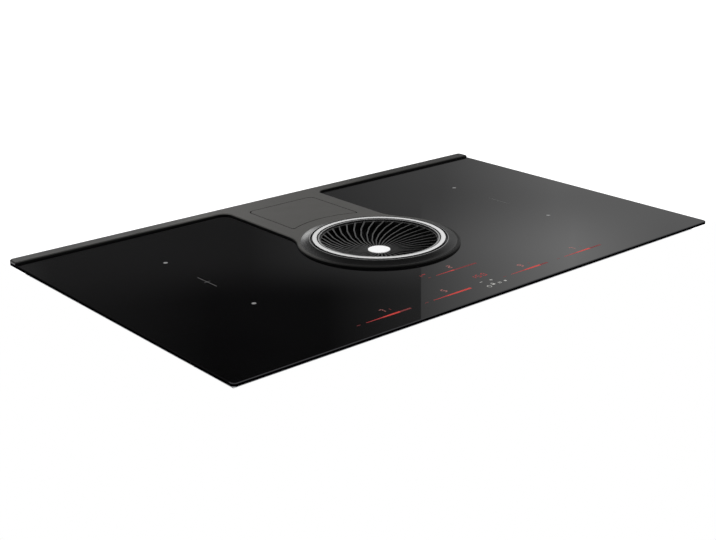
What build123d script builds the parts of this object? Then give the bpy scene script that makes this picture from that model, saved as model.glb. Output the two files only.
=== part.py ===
from build123d import *
import os
from math import cos, pi, radians, sin, sqrt

os.makedirs("parts", exist_ok=True)

# Downdraft induction cooktop, in millimetres.
# X runs to the right, Y to the back and Z up. The glass is centred on x = y = 0,
# and z = 0 is the top of the worktop, on which the rim gasket lies.

# ---------------------------------------------------------------- driving dimensions

# Glass and its gasket
glass_width = 830.0
glass_depth = 515.0
glass_thickness = 4.0
glass_corner_radius = 6.0
glass_bevel = 0.8
gasket_thickness = 1.0
gasket_inset = 2.0
gasket_width = 9.0

# Rim that lies on the worktop all round its opening, and what hangs in the opening
rim_overhang = 11.5
body_depth = 208.0

# Well that the grille covers
well_y = -9.0
well_hole_radius = 95.0

# Raised trim round the well, its neck and the bar along the back
trim_height = 3.5
bar_depth = 19.5
neck_width = 168.0
neck_corner_radius = 15.0
neck_flare_radius = 60.0
rise_width = 13.0
surround_band = 4.5
rise_height = 3.5
rise_steps = 3
trim_edge = 1.4

# Shaft for the odour filter, and the hatch over it
shaft_width = 104.0
shaft_wall = 3.2
shaft_corner_radius = 5.0
hatch_ledge_width = 6.5
hatch_thickness = 2.2
hatch_corner_radius = 10.0
hatch_tip_radius = 2.5
hatch_gap = 1.2
hatch_to_bar = 20.4
hatch_to_surround = 17.7

# Grille: rim, swirled vanes on a dished face, hub and bright ring
ring_gap = 3.2
ring_height = 12.5
ring_width = 9.8
ring_band = 6.2
vane_count = 36
vane_thickness_rim = 2.2
vane_thickness_hub = 1.5
vane_depth = 9.0
dish_radius = 210.0
dish_bottom = -6.5
rim_wall = 2.0
hub_radius = 17.0
hub_height = 10.5
vane_root = 1.0
cap_radius = 15.4
cap_thickness = 1.4
cap_stand = 0.8

# Grease filter and the tray under it
basket_top = -22.0
basket_height = 38.0
basket_wall = 1.2
basket_flange = 4.0
basket_slots = 12
tray_wall = 2.0
tray_height = 16.0
tray_floor_top = -78.0
well_clearance = 10.5

# Air path below the well
sleeve_wall = 4.0
plenum_height = 26.0
plenum_corner_radius = 20.0
scroll_height = 88.0
scroll_wall = 2.5
scroll_step = 17.0
duct_ease = 1.0
duct_throat = 16.0
duct_tail = 8.0
plenum_gap = 1.0
blower_y = -70.0
wheel_radius = 70.0
wheel_height = 64.0
wheel_lift = 7.0
wheel_blades = 18
blade_ring = 14.0
outlet_width = 222.0
outlet_height = 89.0
outlet_collar = 12.0

# Sheet-metal pan that holds the electronics, and the moulded case under it
pan_depth = 60.0
pan_wall = 1.2
pan_clearance = 3.5
pan_flange = 5.0
pan_mouth_gap = 14.0
pan_mouth_back_gap = 5.0
case_half_width = 190.0
case_front_y = -198.0
case_wall = 2.5
case_corner_radius = 24.0
case_taper = 3.0
case_back_inset = 4.5

# Cooking zones
zone_inset = 150.5
zone_rear_y = 114.0
zone_front_y = -84.0
coil_width = 206.0
coil_depth = 188.0
coil_corner_cut = 62.0
coil_height = 8.0
coil_eye = 46.0

# Running and seating gaps
seat_gap = 0.3
slide_gap = 0.6
running_gap = 0.05
spin_gap = 1.0
pick_range = 1.0

# ---------------------------------------------------------------- derived places

glass_bottom = gasket_thickness
glass_top = glass_bottom + glass_thickness
trim_top = glass_top + trim_height
rise_top = trim_top + rise_height
well_axis = Axis((0, well_y, 0), (0, 0, 1))
well_section = Plane(origin=(0, well_y, 0), x_dir=(1, 0, 0), z_dir=(0, -1, 0))
rise_foot_radius = well_hole_radius + rise_width
surround_radius = rise_foot_radius + surround_band
bar_back_y = glass_depth / 2
bar_front_y = bar_back_y - bar_depth
hatch_width = shaft_width + 2 * hatch_ledge_width
hatch_front_radius = surround_radius + hatch_to_surround
hatch_back_y = bar_front_y - hatch_to_bar
shaft_front_y = well_y + hatch_front_radius + shaft_corner_radius
shaft_back_y = hatch_back_y - hatch_ledge_width - shaft_wall
shaft_depth = shaft_back_y - shaft_front_y
shaft_middle_y = (shaft_back_y + shaft_front_y) / 2
shaft_outer_width = shaft_width + 2 * shaft_wall
shaft_outer_depth = shaft_depth + 2 * shaft_wall
hatch_bottom = trim_top - hatch_thickness
sleeve_top = trim_top - seat_gap
sleeve_radius = well_hole_radius - seat_gap


# ---------------------------------------------------------------- glass and gasket

# Black glass-ceramic plate with a round hole for the well and a slot for the filter shaft
glass_hole_gap = 1.5
glass_hole_radius = sleeve_radius + glass_hole_gap
glass_slot_width = shaft_outer_width + 2 * glass_hole_gap
glass_slot_depth = shaft_outer_depth + 2 * glass_hole_gap
with BuildPart() as glass_plate:
    with BuildSketch(Plane.XY.offset(glass_bottom)):
        RectangleRounded(glass_width, glass_depth, glass_corner_radius)
        with Locations((0, well_y)):
            Circle(glass_hole_radius, mode=Mode.SUBTRACT)
        with Locations((0, shaft_middle_y)):
            RectangleRounded(
                glass_slot_width, glass_slot_depth, shaft_corner_radius, mode=Mode.SUBTRACT
            )
    extrude(amount=glass_thickness)
    top_rim = glass_plate.faces().sort_by(Axis.Z)[-1].outer_wire().edges()
    chamfer(top_rim, length=glass_bevel)
glass_plate.part.label = "glass_plate"
export_step(glass_plate.part, "parts/glass_plate.step")

# Foam gasket stuck under the glass rim: its underside lies on the worktop
with BuildPart() as rim_gasket:
    with BuildSketch():
        RectangleRounded(
            glass_width - 2 * gasket_inset, glass_depth - 2 * gasket_inset, glass_corner_radius
        )
        RectangleRounded(
            glass_width - 2 * (gasket_inset + gasket_width),
            glass_depth - 2 * (gasket_inset + gasket_width),
            glass_corner_radius,
            mode=Mode.SUBTRACT,
        )
    extrude(amount=gasket_thickness)
rim_gasket.part.label = "rim_gasket"
export_step(rim_gasket.part, "parts/rim_gasket.step")


# ---------------------------------------------------------------- trim


def hatch_outline(growth, plane):
    """Outline of the hatch, grown all round: its front edge follows the well."""
    front_radius = hatch_front_radius - growth
    half_width = hatch_width / 2 + growth
    back_y = hatch_back_y + growth
    tip_y = well_y + sqrt(front_radius**2 - half_width**2)
    with BuildSketch(plane) as outline:
        with BuildLine():
            Line((-half_width, tip_y), (-half_width, back_y))
            Line((-half_width, back_y), (half_width, back_y))
            Line((half_width, back_y), (half_width, tip_y))
            ThreePointArc((half_width, tip_y), (0, well_y + front_radius), (-half_width, tip_y))
        make_face()
        corners = outline.vertices()
        fillet(corners.group_by(Axis.Y)[-1], radius=hatch_corner_radius)
        fillet(outline.vertices().group_by(Axis.Y)[0], radius=hatch_tip_radius)
    return outline.sketch


# Plan of the whole trim: back bar, neck and the foot of the surround, flared together
with BuildPart() as trim_blank:
    with BuildSketch(Plane.XY.offset(glass_top)) as trim_plan:
        with Locations((0, (bar_front_y + bar_back_y) / 2)):
            Rectangle(glass_width, bar_depth)
        fillet(trim_plan.vertices().group_by(Axis.Y)[-1], radius=glass_corner_radius)
        with Locations((0, (bar_front_y + well_y) / 2)):
            Rectangle(neck_width, bar_front_y - well_y)
        with Locations((0, well_y)):
            Circle(surround_radius)
        neck_foot_y = well_y + sqrt(surround_radius**2 - (neck_width / 2) ** 2)
        neck_feet = trim_plan.vertices().filter_by(lambda v: abs(v.Y - neck_foot_y) < pick_range)
        fillet(neck_feet, radius=neck_flare_radius)
        neck_tops = trim_plan.vertices().filter_by(
            lambda v: abs(v.Y - bar_front_y) < pick_range and abs(v.X) < neck_width
        )
        fillet(neck_tops, radius=neck_corner_radius)
        with Locations((0, well_y)):
            Circle(rise_foot_radius, mode=Mode.SUBTRACT)
    extrude(amount=trim_height)
    top_rim = trim_blank.faces().sort_by(Axis.Z)[-1].outer_wire().edges()
    chamfer(top_rim, length=trim_edge)
bar_joint = Plane(origin=(0, bar_front_y, 0), x_dir=(1, 0, 0), z_dir=(0, 1, 0))

# Back bar, which hides the glass's rear edge
with BuildPart() as trim_bar:
    add(trim_blank.part)
    split(bisect_by=bar_joint, keep=Keep.TOP)
trim_bar.part.label = "trim_bar"
export_step(trim_bar.part, "parts/trim_bar.step")

# Neck with the opening for the hatch, and the band that the surround stands in
with BuildPart() as trim_neck:
    add(trim_blank.part)
    split(bisect_by=bar_joint, keep=Keep.BOTTOM)
    add(hatch_outline(hatch_gap, Plane.XY.offset(glass_top)))
    extrude(amount=trim_height, mode=Mode.SUBTRACT)
trim_neck.part.label = "trim_neck"
export_step(trim_neck.part, "parts/trim_neck.step")

# Surround of the well: it climbs in an S from the band to the edge of the gap
rise_curve = [
    (
        rise_foot_radius - rise_width * step / rise_steps,
        trim_top + rise_height * (1 - cos(pi * step / rise_steps)) / 2,
    )
    for step in range(rise_steps + 1)
]
with BuildPart() as well_surround:
    with BuildSketch(well_section):
        with BuildLine():
            Polyline(
                *rise_curve,
                (well_hole_radius, glass_top),
                (rise_foot_radius, glass_top),
                close=True,
            )
        make_face()
    revolve(axis=well_axis)
well_surround.part.label = "well_surround"
export_step(well_surround.part, "parts/well_surround.step")


# ---------------------------------------------------------------- hatch

seal_drop = 6.0
seal_lip = 2.4
seal_width = shaft_width - 2 * seat_gap
seal_depth = shaft_depth - 2 * seat_gap

# Lift-off hatch: a flat plate whose front edge follows the well
with BuildPart() as filter_hatch:
    add(hatch_outline(0, Plane.XY.offset(hatch_bottom)))
    extrude(amount=hatch_thickness)
filter_hatch.part.label = "filter_hatch"
export_step(filter_hatch.part, "parts/filter_hatch.step")

# Silicone skirt under the hatch, which centres it in the shaft and closes it
with BuildPart() as hatch_seal:
    with BuildSketch(Plane.XY.offset(hatch_bottom)):
        with Locations((0, shaft_middle_y)):
            RectangleRounded(seal_width, seal_depth, shaft_corner_radius - seat_gap)
            Rectangle(seal_width - 2 * seal_lip, seal_depth - 2 * seal_lip, mode=Mode.SUBTRACT)
    extrude(amount=-seal_drop)
hatch_seal.part.label = "hatch_seal"
export_step(hatch_seal.part, "parts/hatch_seal.step")


# ---------------------------------------------------------------- grille

ring_radius = well_hole_radius - ring_gap
rim_radius = ring_radius - ring_width
ring_bottom = sleeve_top + seat_gap
ring_step = 0.6
dish_centre_z = dish_bottom + dish_radius


def dish_z(radius):
    """Height of the grille's dished face at a distance from the well's axis."""
    return dish_centre_z - sqrt(dish_radius**2 - radius**2)


# Bright ring that carries the casting and lies on the sleeve: a broad outer band with a
# narrow step inside it
with BuildPart() as grille_ring:
    band_inner = ring_radius - ring_band
    with BuildSketch(well_section):
        with BuildLine():
            Polyline(
                (rim_radius, ring_bottom),
                (ring_radius, ring_bottom),
                (ring_radius, ring_height),
                (band_inner, ring_height),
                (band_inner, ring_height - ring_step),
                (rim_radius, ring_height - ring_step),
                close=True,
            )
        make_face()
    revolve(axis=well_axis)
grille_ring.part.label = "grille_ring"
export_step(grille_ring.part, "parts/grille_ring.step")

# One vane: it leaves the hub straight out, sweeps round and climbs with the dish to the rim.
# The angles are how far it has turned about the well at the hub and at the rim.
vane_sections = 5
vane_start_angle = 11.3
vane_end_angle = -16.2
vane_start = hub_radius - vane_root
vane_end = rim_radius - rim_wall / 2
vane_path = ThreePointArc(
    (vane_start * cos(radians(vane_start_angle)), vane_start * sin(radians(vane_start_angle))),
    ((vane_start + vane_end) / 2, 0),
    (vane_end * cos(radians(vane_end_angle)), vane_end * sin(radians(vane_end_angle))),
)
with BuildPart() as vane:
    for section in range(vane_sections):
        share = section / (vane_sections - 1)
        point = vane_path @ share
        ahead = vane_path % share
        thickness = vane_thickness_hub + (vane_thickness_rim - vane_thickness_hub) * share
        middle_z = dish_z(sqrt(point.X**2 + point.Y**2)) - vane_depth / 2
        across = Plane(
            origin=(point.X, point.Y, middle_z), x_dir=(-ahead.Y, ahead.X, 0), z_dir=ahead
        )
        with BuildSketch(across):
            Rectangle(thickness, vane_depth)
    loft(ruled=True)

# Grille casting: rim, hub and the ring of swirled vanes between them
rim_bottom = dish_z(rim_radius) - vane_depth - rim_wall
cap_bottom = dish_bottom - cap_thickness + cap_stand
with BuildPart() as grille:
    with BuildSketch(Plane.XY.offset(rim_bottom)):
        with Locations((0, well_y)):
            Circle(rim_radius)
            Circle(rim_radius - rim_wall, mode=Mode.SUBTRACT)
    extrude(amount=ring_bottom + ring_step - rim_bottom)
    with BuildSketch(Plane.XY.offset(cap_bottom)):
        with Locations((0, well_y)):
            Circle(hub_radius)
    extrude(amount=-hub_height)
    with Locations((0, well_y)):
        with PolarLocations(0, vane_count):
            add(vane.part)
grille.part.label = "grille"
export_step(grille.part, "parts/grille.step")

# Metal cap on the hub: a plain round disc that stands a little above the dish
with BuildPart() as hub_cap:
    with BuildSketch(Plane.XY.offset(cap_bottom)):
        with Locations((0, well_y)):
            Circle(cap_radius)
    extrude(amount=cap_thickness)
hub_cap.part.label = "hub_cap"
export_step(hub_cap.part, "parts/hub_cap.step")


# ---------------------------------------------------------------- grease filter and liquid tray

basket_radius = sleeve_radius - sleeve_wall - well_clearance - basket_flange
basket_bottom = basket_top - basket_height
slot_width = 5.0
slot_height = 26.0

# Basket of pressed steel with slots round its wall, a flange to lift it by and a closed floor
with BuildPart() as grease_basket:
    with BuildSketch(well_section):
        with BuildLine():
            Polyline(
                (0, basket_bottom),
                (basket_radius, basket_bottom),
                (basket_radius, basket_top - basket_wall),
                (basket_radius + basket_flange, basket_top - basket_wall),
                (basket_radius + basket_flange, basket_top),
                (basket_radius - basket_wall, basket_top),
                (basket_radius - basket_wall, basket_bottom + basket_wall),
                (0, basket_bottom + basket_wall),
                close=True,
            )
        make_face()
    revolve(axis=well_axis)
    with Locations((0, well_y, basket_bottom + basket_height / 2)):
        with PolarLocations(basket_radius, basket_slots):
            Box(4 * basket_wall, slot_width, slot_height, mode=Mode.SUBTRACT)
grease_basket.part.label = "grease_basket"
export_step(grease_basket.part, "parts/grease_basket.step")

# Round tray that catches spilt liquid, with a cross of ribs that the basket stands on
tray_radius = basket_radius + basket_flange / 2
with BuildPart() as liquid_tray:
    with BuildSketch(Plane.XY.offset(tray_floor_top - tray_wall)):
        with Locations((0, well_y)):
            Circle(tray_radius)
    extrude(amount=tray_height)
    with BuildSketch(Plane.XY.offset(tray_floor_top)):
        with Locations((0, well_y)):
            Circle(tray_radius - tray_wall)
    extrude(amount=tray_height, mode=Mode.SUBTRACT)
    with BuildSketch(Plane.XY.offset(tray_floor_top)):
        with Locations((0, well_y)):
            Rectangle(2 * tray_radius - tray_wall, tray_wall)
            Rectangle(tray_wall, 2 * tray_radius - tray_wall)
    extrude(amount=basket_bottom - seat_gap - tray_floor_top)
liquid_tray.part.label = "liquid_tray"
export_step(liquid_tray.part, "parts/liquid_tray.step")


# ---------------------------------------------------------------- air path

pan_bottom = glass_bottom - pan_depth
case_bottom = -body_depth
scroll_floor = case_bottom + case_wall + scroll_wall
scroll_roof = scroll_floor + scroll_height
lid_top = scroll_roof + scroll_wall
plenum_top = lid_top + plenum_height
fin_top = tray_floor_top - tray_wall - seat_gap

# Shaft that the odour filter is lifted through, from the duct's roof up to the hatch
with BuildPart() as filter_shaft:
    with BuildSketch(Plane.XY.offset(lid_top)):
        with Locations((0, shaft_middle_y)):
            RectangleRounded(shaft_outer_width, shaft_outer_depth, shaft_corner_radius)
            Rectangle(shaft_width, shaft_depth, mode=Mode.SUBTRACT)
    extrude(amount=hatch_bottom - seat_gap - lid_top)
filter_shaft.part.label = "filter_shaft"
export_step(filter_shaft.part, "parts/filter_shaft.step")

# Spiral round the wheel: four quarter arcs, each smaller than the last by the same step,
# whose centres are the corners of a small square. It ends in a straight duct to the back.
tongue_gap = 5.0
duct_half_width = shaft_width / 2 + duct_ease
half_step = scroll_step / 2
scroll_first_radius = wheel_radius + tongue_gap + 3 * scroll_step
blower_x = duct_half_width - scroll_first_radius - half_step
second_radius = scroll_first_radius - scroll_step
third_radius = second_radius - scroll_step
fourth_radius = third_radius - scroll_step
tongue_angle = 50.0
duct_back_y = shaft_back_y + duct_tail


def spiral_outline(growth, plane):
    """Inner outline of the scroll and its duct, grown by a wall."""
    right_x = duct_half_width + growth
    front_y = blower_y + half_step - scroll_first_radius - growth
    left_x = blower_x + half_step - second_radius - growth
    rear_y = blower_y - half_step + third_radius + growth
    tongue = (
        blower_x - half_step + (fourth_radius + growth) * cos(radians(tongue_angle)),
        blower_y + half_step + (fourth_radius + growth) * sin(radians(tongue_angle)),
    )
    with BuildSketch(plane) as outline:
        with BuildLine():
            Line((right_x, duct_back_y), (right_x, blower_y + half_step))
            RadiusArc(
                (right_x, blower_y + half_step),
                (blower_x + half_step, front_y),
                scroll_first_radius + growth,
            )
            RadiusArc(
                (blower_x + half_step, front_y),
                (left_x, blower_y - half_step),
                second_radius + growth,
            )
            RadiusArc(
                (left_x, blower_y - half_step),
                (blower_x - half_step, rear_y),
                third_radius + growth,
            )
            RadiusArc((blower_x - half_step, rear_y), tongue, fourth_radius + growth)
            Polyline(
                tongue,
                (-duct_half_width - growth, shaft_front_y - duct_throat),
                (-duct_half_width - growth, duct_back_y),
                (right_x, duct_back_y),
            )
        make_face()
    return outline.sketch


# Lower half of the blower housing: floor, spiral wall and duct, open at the back
with BuildPart() as scroll_lower:
    add(spiral_outline(scroll_wall, Plane.XY.offset(case_bottom + case_wall)))
    extrude(amount=scroll_wall + scroll_height)
    add(spiral_outline(0, Plane.XY.offset(scroll_floor)))
    extrude(amount=scroll_height, mode=Mode.SUBTRACT)
scroll_lower.part.label = "scroll_lower"
export_step(scroll_lower.part, "parts/scroll_lower.step")

# Lid of the blower housing, with the bell mouth over the wheel and the filter's way in
mouth_depth = 12.0
mouth_lap = 4.0
inlet_radius = wheel_radius - blade_ring - mouth_lap
with BuildPart() as scroll_lid:
    add(spiral_outline(scroll_wall, Plane.XY.offset(scroll_roof)))
    extrude(amount=scroll_wall)
    with BuildSketch(Plane.XY.offset(scroll_roof)):
        with Locations((blower_x, blower_y)):
            Circle(inlet_radius + scroll_wall)
    extrude(amount=-mouth_depth)
    with BuildSketch(Plane.XY.offset(lid_top)):
        with Locations((blower_x, blower_y)):
            Circle(inlet_radius)
        with Locations((0, shaft_middle_y)):
            Rectangle(shaft_width, shaft_depth)
    extrude(amount=-(scroll_wall + mouth_depth), mode=Mode.SUBTRACT)
scroll_lid.part.label = "scroll_lid"
export_step(scroll_lid.part, "parts/scroll_lid.step")

# Sleeve of the well, from the grille down to the plenum, with a cross of fins at its foot
# that carries the liquid tray
fin_thickness = 4.0
fin_depth = 5.0
with BuildPart() as intake_sleeve:
    with BuildSketch(Plane.XY.offset(plenum_top)):
        with Locations((0, well_y)):
            Circle(sleeve_radius)
            Circle(sleeve_radius - sleeve_wall, mode=Mode.SUBTRACT)
    extrude(amount=sleeve_top - plenum_top)
    with BuildSketch(Plane.XY.offset(fin_top)):
        with Locations((0, well_y)):
            Rectangle(2 * sleeve_radius - sleeve_wall, fin_thickness)
            Rectangle(fin_thickness, 2 * sleeve_radius - sleeve_wall)
    extrude(amount=-fin_depth)
intake_sleeve.part.label = "intake_sleeve"
export_step(intake_sleeve.part, "parts/intake_sleeve.step")

# Flat plenum under the sleeve, which leads the air across the lid to the bell mouth
plenum_wall = 2.5
plenum_margin = 12.0
plenum_left_x = blower_x - inlet_radius - plenum_margin
plenum_right_x = sleeve_radius + plenum_margin
plenum_front_y = blower_y - inlet_radius - plenum_margin
plenum_back_y = shaft_front_y - shaft_wall - plenum_gap
plenum_width = plenum_right_x - plenum_left_x
plenum_length = plenum_back_y - plenum_front_y
plenum_middle_x = (plenum_right_x + plenum_left_x) / 2
plenum_middle_y = (plenum_back_y + plenum_front_y) / 2
with BuildPart() as plenum_box:
    with BuildSketch(Plane.XY.offset(lid_top)):
        with Locations((plenum_middle_x, plenum_middle_y)):
            RectangleRounded(plenum_width, plenum_length, plenum_corner_radius)
    extrude(amount=plenum_height)
    with BuildSketch(Plane.XY.offset(lid_top)):
        with Locations((plenum_middle_x, plenum_middle_y)):
            RectangleRounded(
                plenum_width - 2 * plenum_wall,
                plenum_length - 2 * plenum_wall,
                plenum_corner_radius - plenum_wall,
            )
    extrude(amount=plenum_height - plenum_wall, mode=Mode.SUBTRACT)
    with BuildSketch(Plane.XY.offset(lid_top)):
        with Locations((0, well_y)):
            Circle(sleeve_radius - sleeve_wall)
    extrude(amount=plenum_height, mode=Mode.SUBTRACT)
plenum_box.part.label = "plenum_box"
export_step(plenum_box.part, "parts/plenum_box.step")

# Adaptor from the housing's duct to the flat outlet at the back, with a collar for the duct
outlet_wall = 2.0
adaptor_length = 20.0
outlet_y = duct_back_y + adaptor_length
outlet_middle_z = scroll_floor + scroll_height / 2
duct_end = Plane(origin=(0, duct_back_y, outlet_middle_z), x_dir=(1, 0, 0), z_dir=(0, -1, 0))
outlet_face = Plane(origin=(0, outlet_y, outlet_middle_z), x_dir=(1, 0, 0), z_dir=(0, -1, 0))
with BuildPart() as outlet_adaptor:
    with BuildSketch(duct_end):
        Rectangle(2 * duct_half_width + 2 * outlet_wall, outlet_height)
    with BuildSketch(outlet_face):
        Rectangle(outlet_width, outlet_height)
    loft()
    with BuildSketch(outlet_face):
        Rectangle(outlet_width, outlet_height)
    extrude(amount=-outlet_collar)
    with BuildSketch(duct_end):
        Rectangle(2 * duct_half_width, outlet_height - 2 * outlet_wall)
    with BuildSketch(outlet_face):
        Rectangle(outlet_width - 2 * outlet_wall, outlet_height - 2 * outlet_wall)
    loft(mode=Mode.SUBTRACT)
    with BuildSketch(outlet_face):
        Rectangle(outlet_width - 2 * outlet_wall, outlet_height - 2 * outlet_wall)
    extrude(amount=-outlet_collar, mode=Mode.SUBTRACT)
outlet_adaptor.part.label = "outlet_adaptor"
export_step(outlet_adaptor.part, "parts/outlet_adaptor.step")


# ---------------------------------------------------------------- odour filter

cassette_wall = 2.0
cassette_width = shaft_width - 2 * slide_gap
cassette_depth = shaft_depth - 2 * slide_gap
cassette_bottom = scroll_floor + seat_gap
cassette_rise = 2.5
cassette_top = lid_top + cassette_rise
cassette_height = cassette_top - cassette_bottom
handle_width = 60.0
handle_height = 85.0
handle_strap = 8.0

# Cassette that holds the carbon blocks, open to the front and back, with a tall handle
with BuildPart() as odour_cassette:
    with BuildSketch(Plane.XY.offset(cassette_bottom)):
        with Locations((0, shaft_middle_y)):
            RectangleRounded(cassette_width, cassette_depth, shaft_corner_radius - slide_gap)
    extrude(amount=cassette_height)
    with Locations((0, shaft_middle_y, (cassette_bottom + cassette_top) / 2)):
        Box(
            cassette_width - 2 * cassette_wall,
            cassette_depth + cassette_wall,
            cassette_height - 2 * cassette_wall,
            mode=Mode.SUBTRACT,
        )
    handle_foot = Plane(origin=(0, shaft_middle_y, cassette_top), x_dir=(1, 0, 0), z_dir=(0, -1, 0))
    with BuildSketch(handle_foot):
        with Locations((0, handle_height / 2)):
            Rectangle(handle_width, handle_height)
        with Locations((0, (handle_height - handle_strap) / 2)):
            Rectangle(
                handle_width - 2 * handle_strap, handle_height - handle_strap, mode=Mode.SUBTRACT
            )
    extrude(amount=cassette_wall, both=True)
odour_cassette.part.label = "odour_cassette"
export_step(odour_cassette.part, "parts/odour_cassette.step")

# Two blocks of carbon foam, one behind the other
block_width = cassette_width - 2 * (cassette_wall + seat_gap)
block_depth = (cassette_depth - 3 * cassette_wall) / 2
block_height = cassette_height - 2 * (cassette_wall + seat_gap)
for name, side in (("front", -1), ("rear", 1)):
    with BuildPart() as block:
        block_y = shaft_middle_y + side * (block_depth + cassette_wall) / 2
        with Locations((0, block_y, cassette_bottom + cassette_wall + seat_gap + block_height / 2)):
            Box(block_width, block_depth, block_height)
    block.part.label = "carbon_block_" + name
    export_step(block.part, "parts/carbon_block_" + name + ".step")


# ---------------------------------------------------------------- blower wheel and motor

wheel_bottom = scroll_floor + wheel_lift
wheel_top = wheel_bottom + wheel_height
blade_thickness = 1.4
blade_sweep = 7.0
plate_thickness = 2.0
motor_radius = 34.0
motor_height = 45.0
motor_top = scroll_floor + motor_height
cup_gap = 2.0
cup_radius = motor_radius + cup_gap
cup_top = motor_top + cup_gap
shaft_radius = 4.0
shaft_length = 36.0
shaft_stand = 5.0
shaft_top = cup_top + shaft_stand
blower_section = Plane(origin=(blower_x, blower_y, 0), x_dir=(1, 0, 0), z_dir=(0, -1, 0))
blower_axis = Axis((blower_x, blower_y, 0), (0, 0, 1))
blade_inner = wheel_radius - blade_ring
blade_inset = 1.0
blade_outer = wheel_radius - blade_inset

# One blade of the wheel: a plate that leans forward between the inner and the outer radius
with BuildPart() as blade:
    with BuildSketch(Plane.XY.offset(wheel_bottom + plate_thickness / 2)):
        with BuildLine():
            Polyline(
                (blade_inner, 0),
                (blade_outer, blade_sweep),
                (blade_outer, blade_sweep - blade_thickness),
                (blade_inner, -blade_thickness),
                close=True,
            )
        make_face()
    extrude(amount=wheel_height - plate_thickness)

# Blower wheel: back plate with a cup over the motor, forward-bent blades and a shroud ring
with BuildPart() as blower_wheel:
    with BuildSketch(blower_section):
        with BuildLine():
            Polyline(
                (cup_radius, wheel_bottom),
                (wheel_radius, wheel_bottom),
                (wheel_radius, wheel_bottom + plate_thickness),
                (cup_radius + plate_thickness, wheel_bottom + plate_thickness),
                (cup_radius + plate_thickness, cup_top + plate_thickness),
                (shaft_radius, cup_top + plate_thickness),
                (shaft_radius, cup_top),
                (cup_radius, cup_top),
                close=True,
            )
        make_face()
    revolve(axis=blower_axis)
    with Locations((blower_x, blower_y)):
        with PolarLocations(0, wheel_blades):
            add(blade.part)
    with BuildSketch(Plane.XY.offset(wheel_top - plate_thickness)):
        with Locations((blower_x, blower_y)):
            Circle(wheel_radius)
            Circle(blade_inner, mode=Mode.SUBTRACT)
    extrude(amount=plate_thickness)
blower_wheel.part.label = "blower_wheel"
export_step(blower_wheel.part, "parts/blower_wheel.step")

# Shaft that the wheel is pressed on
with BuildPart() as blower_shaft:
    with BuildSketch(Plane.XY.offset(shaft_top)):
        with Locations((blower_x, blower_y)):
            Circle(shaft_radius)
    extrude(amount=-shaft_length)
blower_shaft.part.label = "blower_shaft"
export_step(blower_shaft.part, "parts/blower_shaft.step")

# Motor on the housing's floor: a closed can with the shaft's bearing bore in its top
with BuildPart() as blower_motor:
    with BuildSketch(blower_section):
        with BuildLine():
            Polyline(
                (0, scroll_floor),
                (motor_radius, scroll_floor),
                (motor_radius, motor_top),
                (shaft_radius + running_gap, motor_top),
                (shaft_radius + running_gap, shaft_top - shaft_length - seat_gap),
                (0, shaft_top - shaft_length - seat_gap),
                close=True,
            )
        make_face()
    revolve(axis=blower_axis)
blower_motor.part.label = "blower_motor"
export_step(blower_motor.part, "parts/blower_motor.step")


# ---------------------------------------------------------------- sheet-metal pan and lower case

zone_x = glass_width / 2 - zone_inset
pan_width = glass_width - 2 * (rim_overhang + pan_clearance)
pan_length = glass_depth - 2 * (rim_overhang + pan_clearance)
pan_floor = pan_bottom + pan_wall
pan_mouth_half_width = sleeve_radius + pan_mouth_gap
pan_mouth_front_y = well_y - sleeve_radius - pan_mouth_gap
pan_mouth_back_y = shaft_back_y + shaft_wall + pan_mouth_back_gap
pan_mouth_length = pan_mouth_back_y - pan_mouth_front_y
pan_mouth_y = (pan_mouth_back_y + pan_mouth_front_y) / 2
fan_offset = 65.5
fan_x = zone_x + fan_offset
fan_y = 176.0
vent_pitch = 9.0
vent_slots = 7
vent_width = 4.0
vent_length = 62.0
side_vent_height = 22.0
side_vents = 9

# Folded steel pan bonded under the glass, open in the middle for the well and filter shaft
with BuildPart() as hob_pan:
    with BuildSketch(Plane.XY.offset(pan_bottom)):
        Rectangle(pan_width, pan_length)
    extrude(amount=pan_depth)
    with BuildSketch(Plane.XY.offset(pan_floor)):
        Rectangle(pan_width - 2 * pan_wall, pan_length - 2 * pan_wall)
    extrude(amount=pan_depth - 2 * pan_wall, mode=Mode.SUBTRACT)
    with BuildSketch(Plane.XY.offset(glass_bottom)):
        Rectangle(pan_width - 2 * pan_flange, pan_length - 2 * pan_flange)
    extrude(amount=-2 * pan_wall, mode=Mode.SUBTRACT)
    with BuildSketch(Plane.XY.offset(pan_bottom)):
        with Locations((0, pan_mouth_y)):
            Rectangle(2 * pan_mouth_half_width, pan_mouth_length)
        for side in (-1, 1):
            with Locations((side * fan_x, fan_y)):
                with GridLocations(vent_pitch, 0, vent_slots, 1):
                    Rectangle(vent_width, vent_length)
    extrude(amount=2 * pan_wall, mode=Mode.SUBTRACT)
    # air leaves through upright slots in the front wall
    vent_middle_z = pan_bottom + pan_depth / 2
    front_wall = Plane(origin=(0, -pan_length / 2, vent_middle_z), x_dir=(1, 0, 0), z_dir=(0, -1, 0))
    with BuildSketch(front_wall):
        for side in (-1, 1):
            with Locations((side * zone_x, 0)):
                with GridLocations(2 * vent_pitch, 0, side_vents, 1):
                    Rectangle(vent_width, side_vent_height)
    extrude(amount=2 * pan_wall, both=True, mode=Mode.SUBTRACT)
hob_pan.part.label = "hob_pan"
export_step(hob_pan.part, "parts/hob_pan.step")

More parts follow.
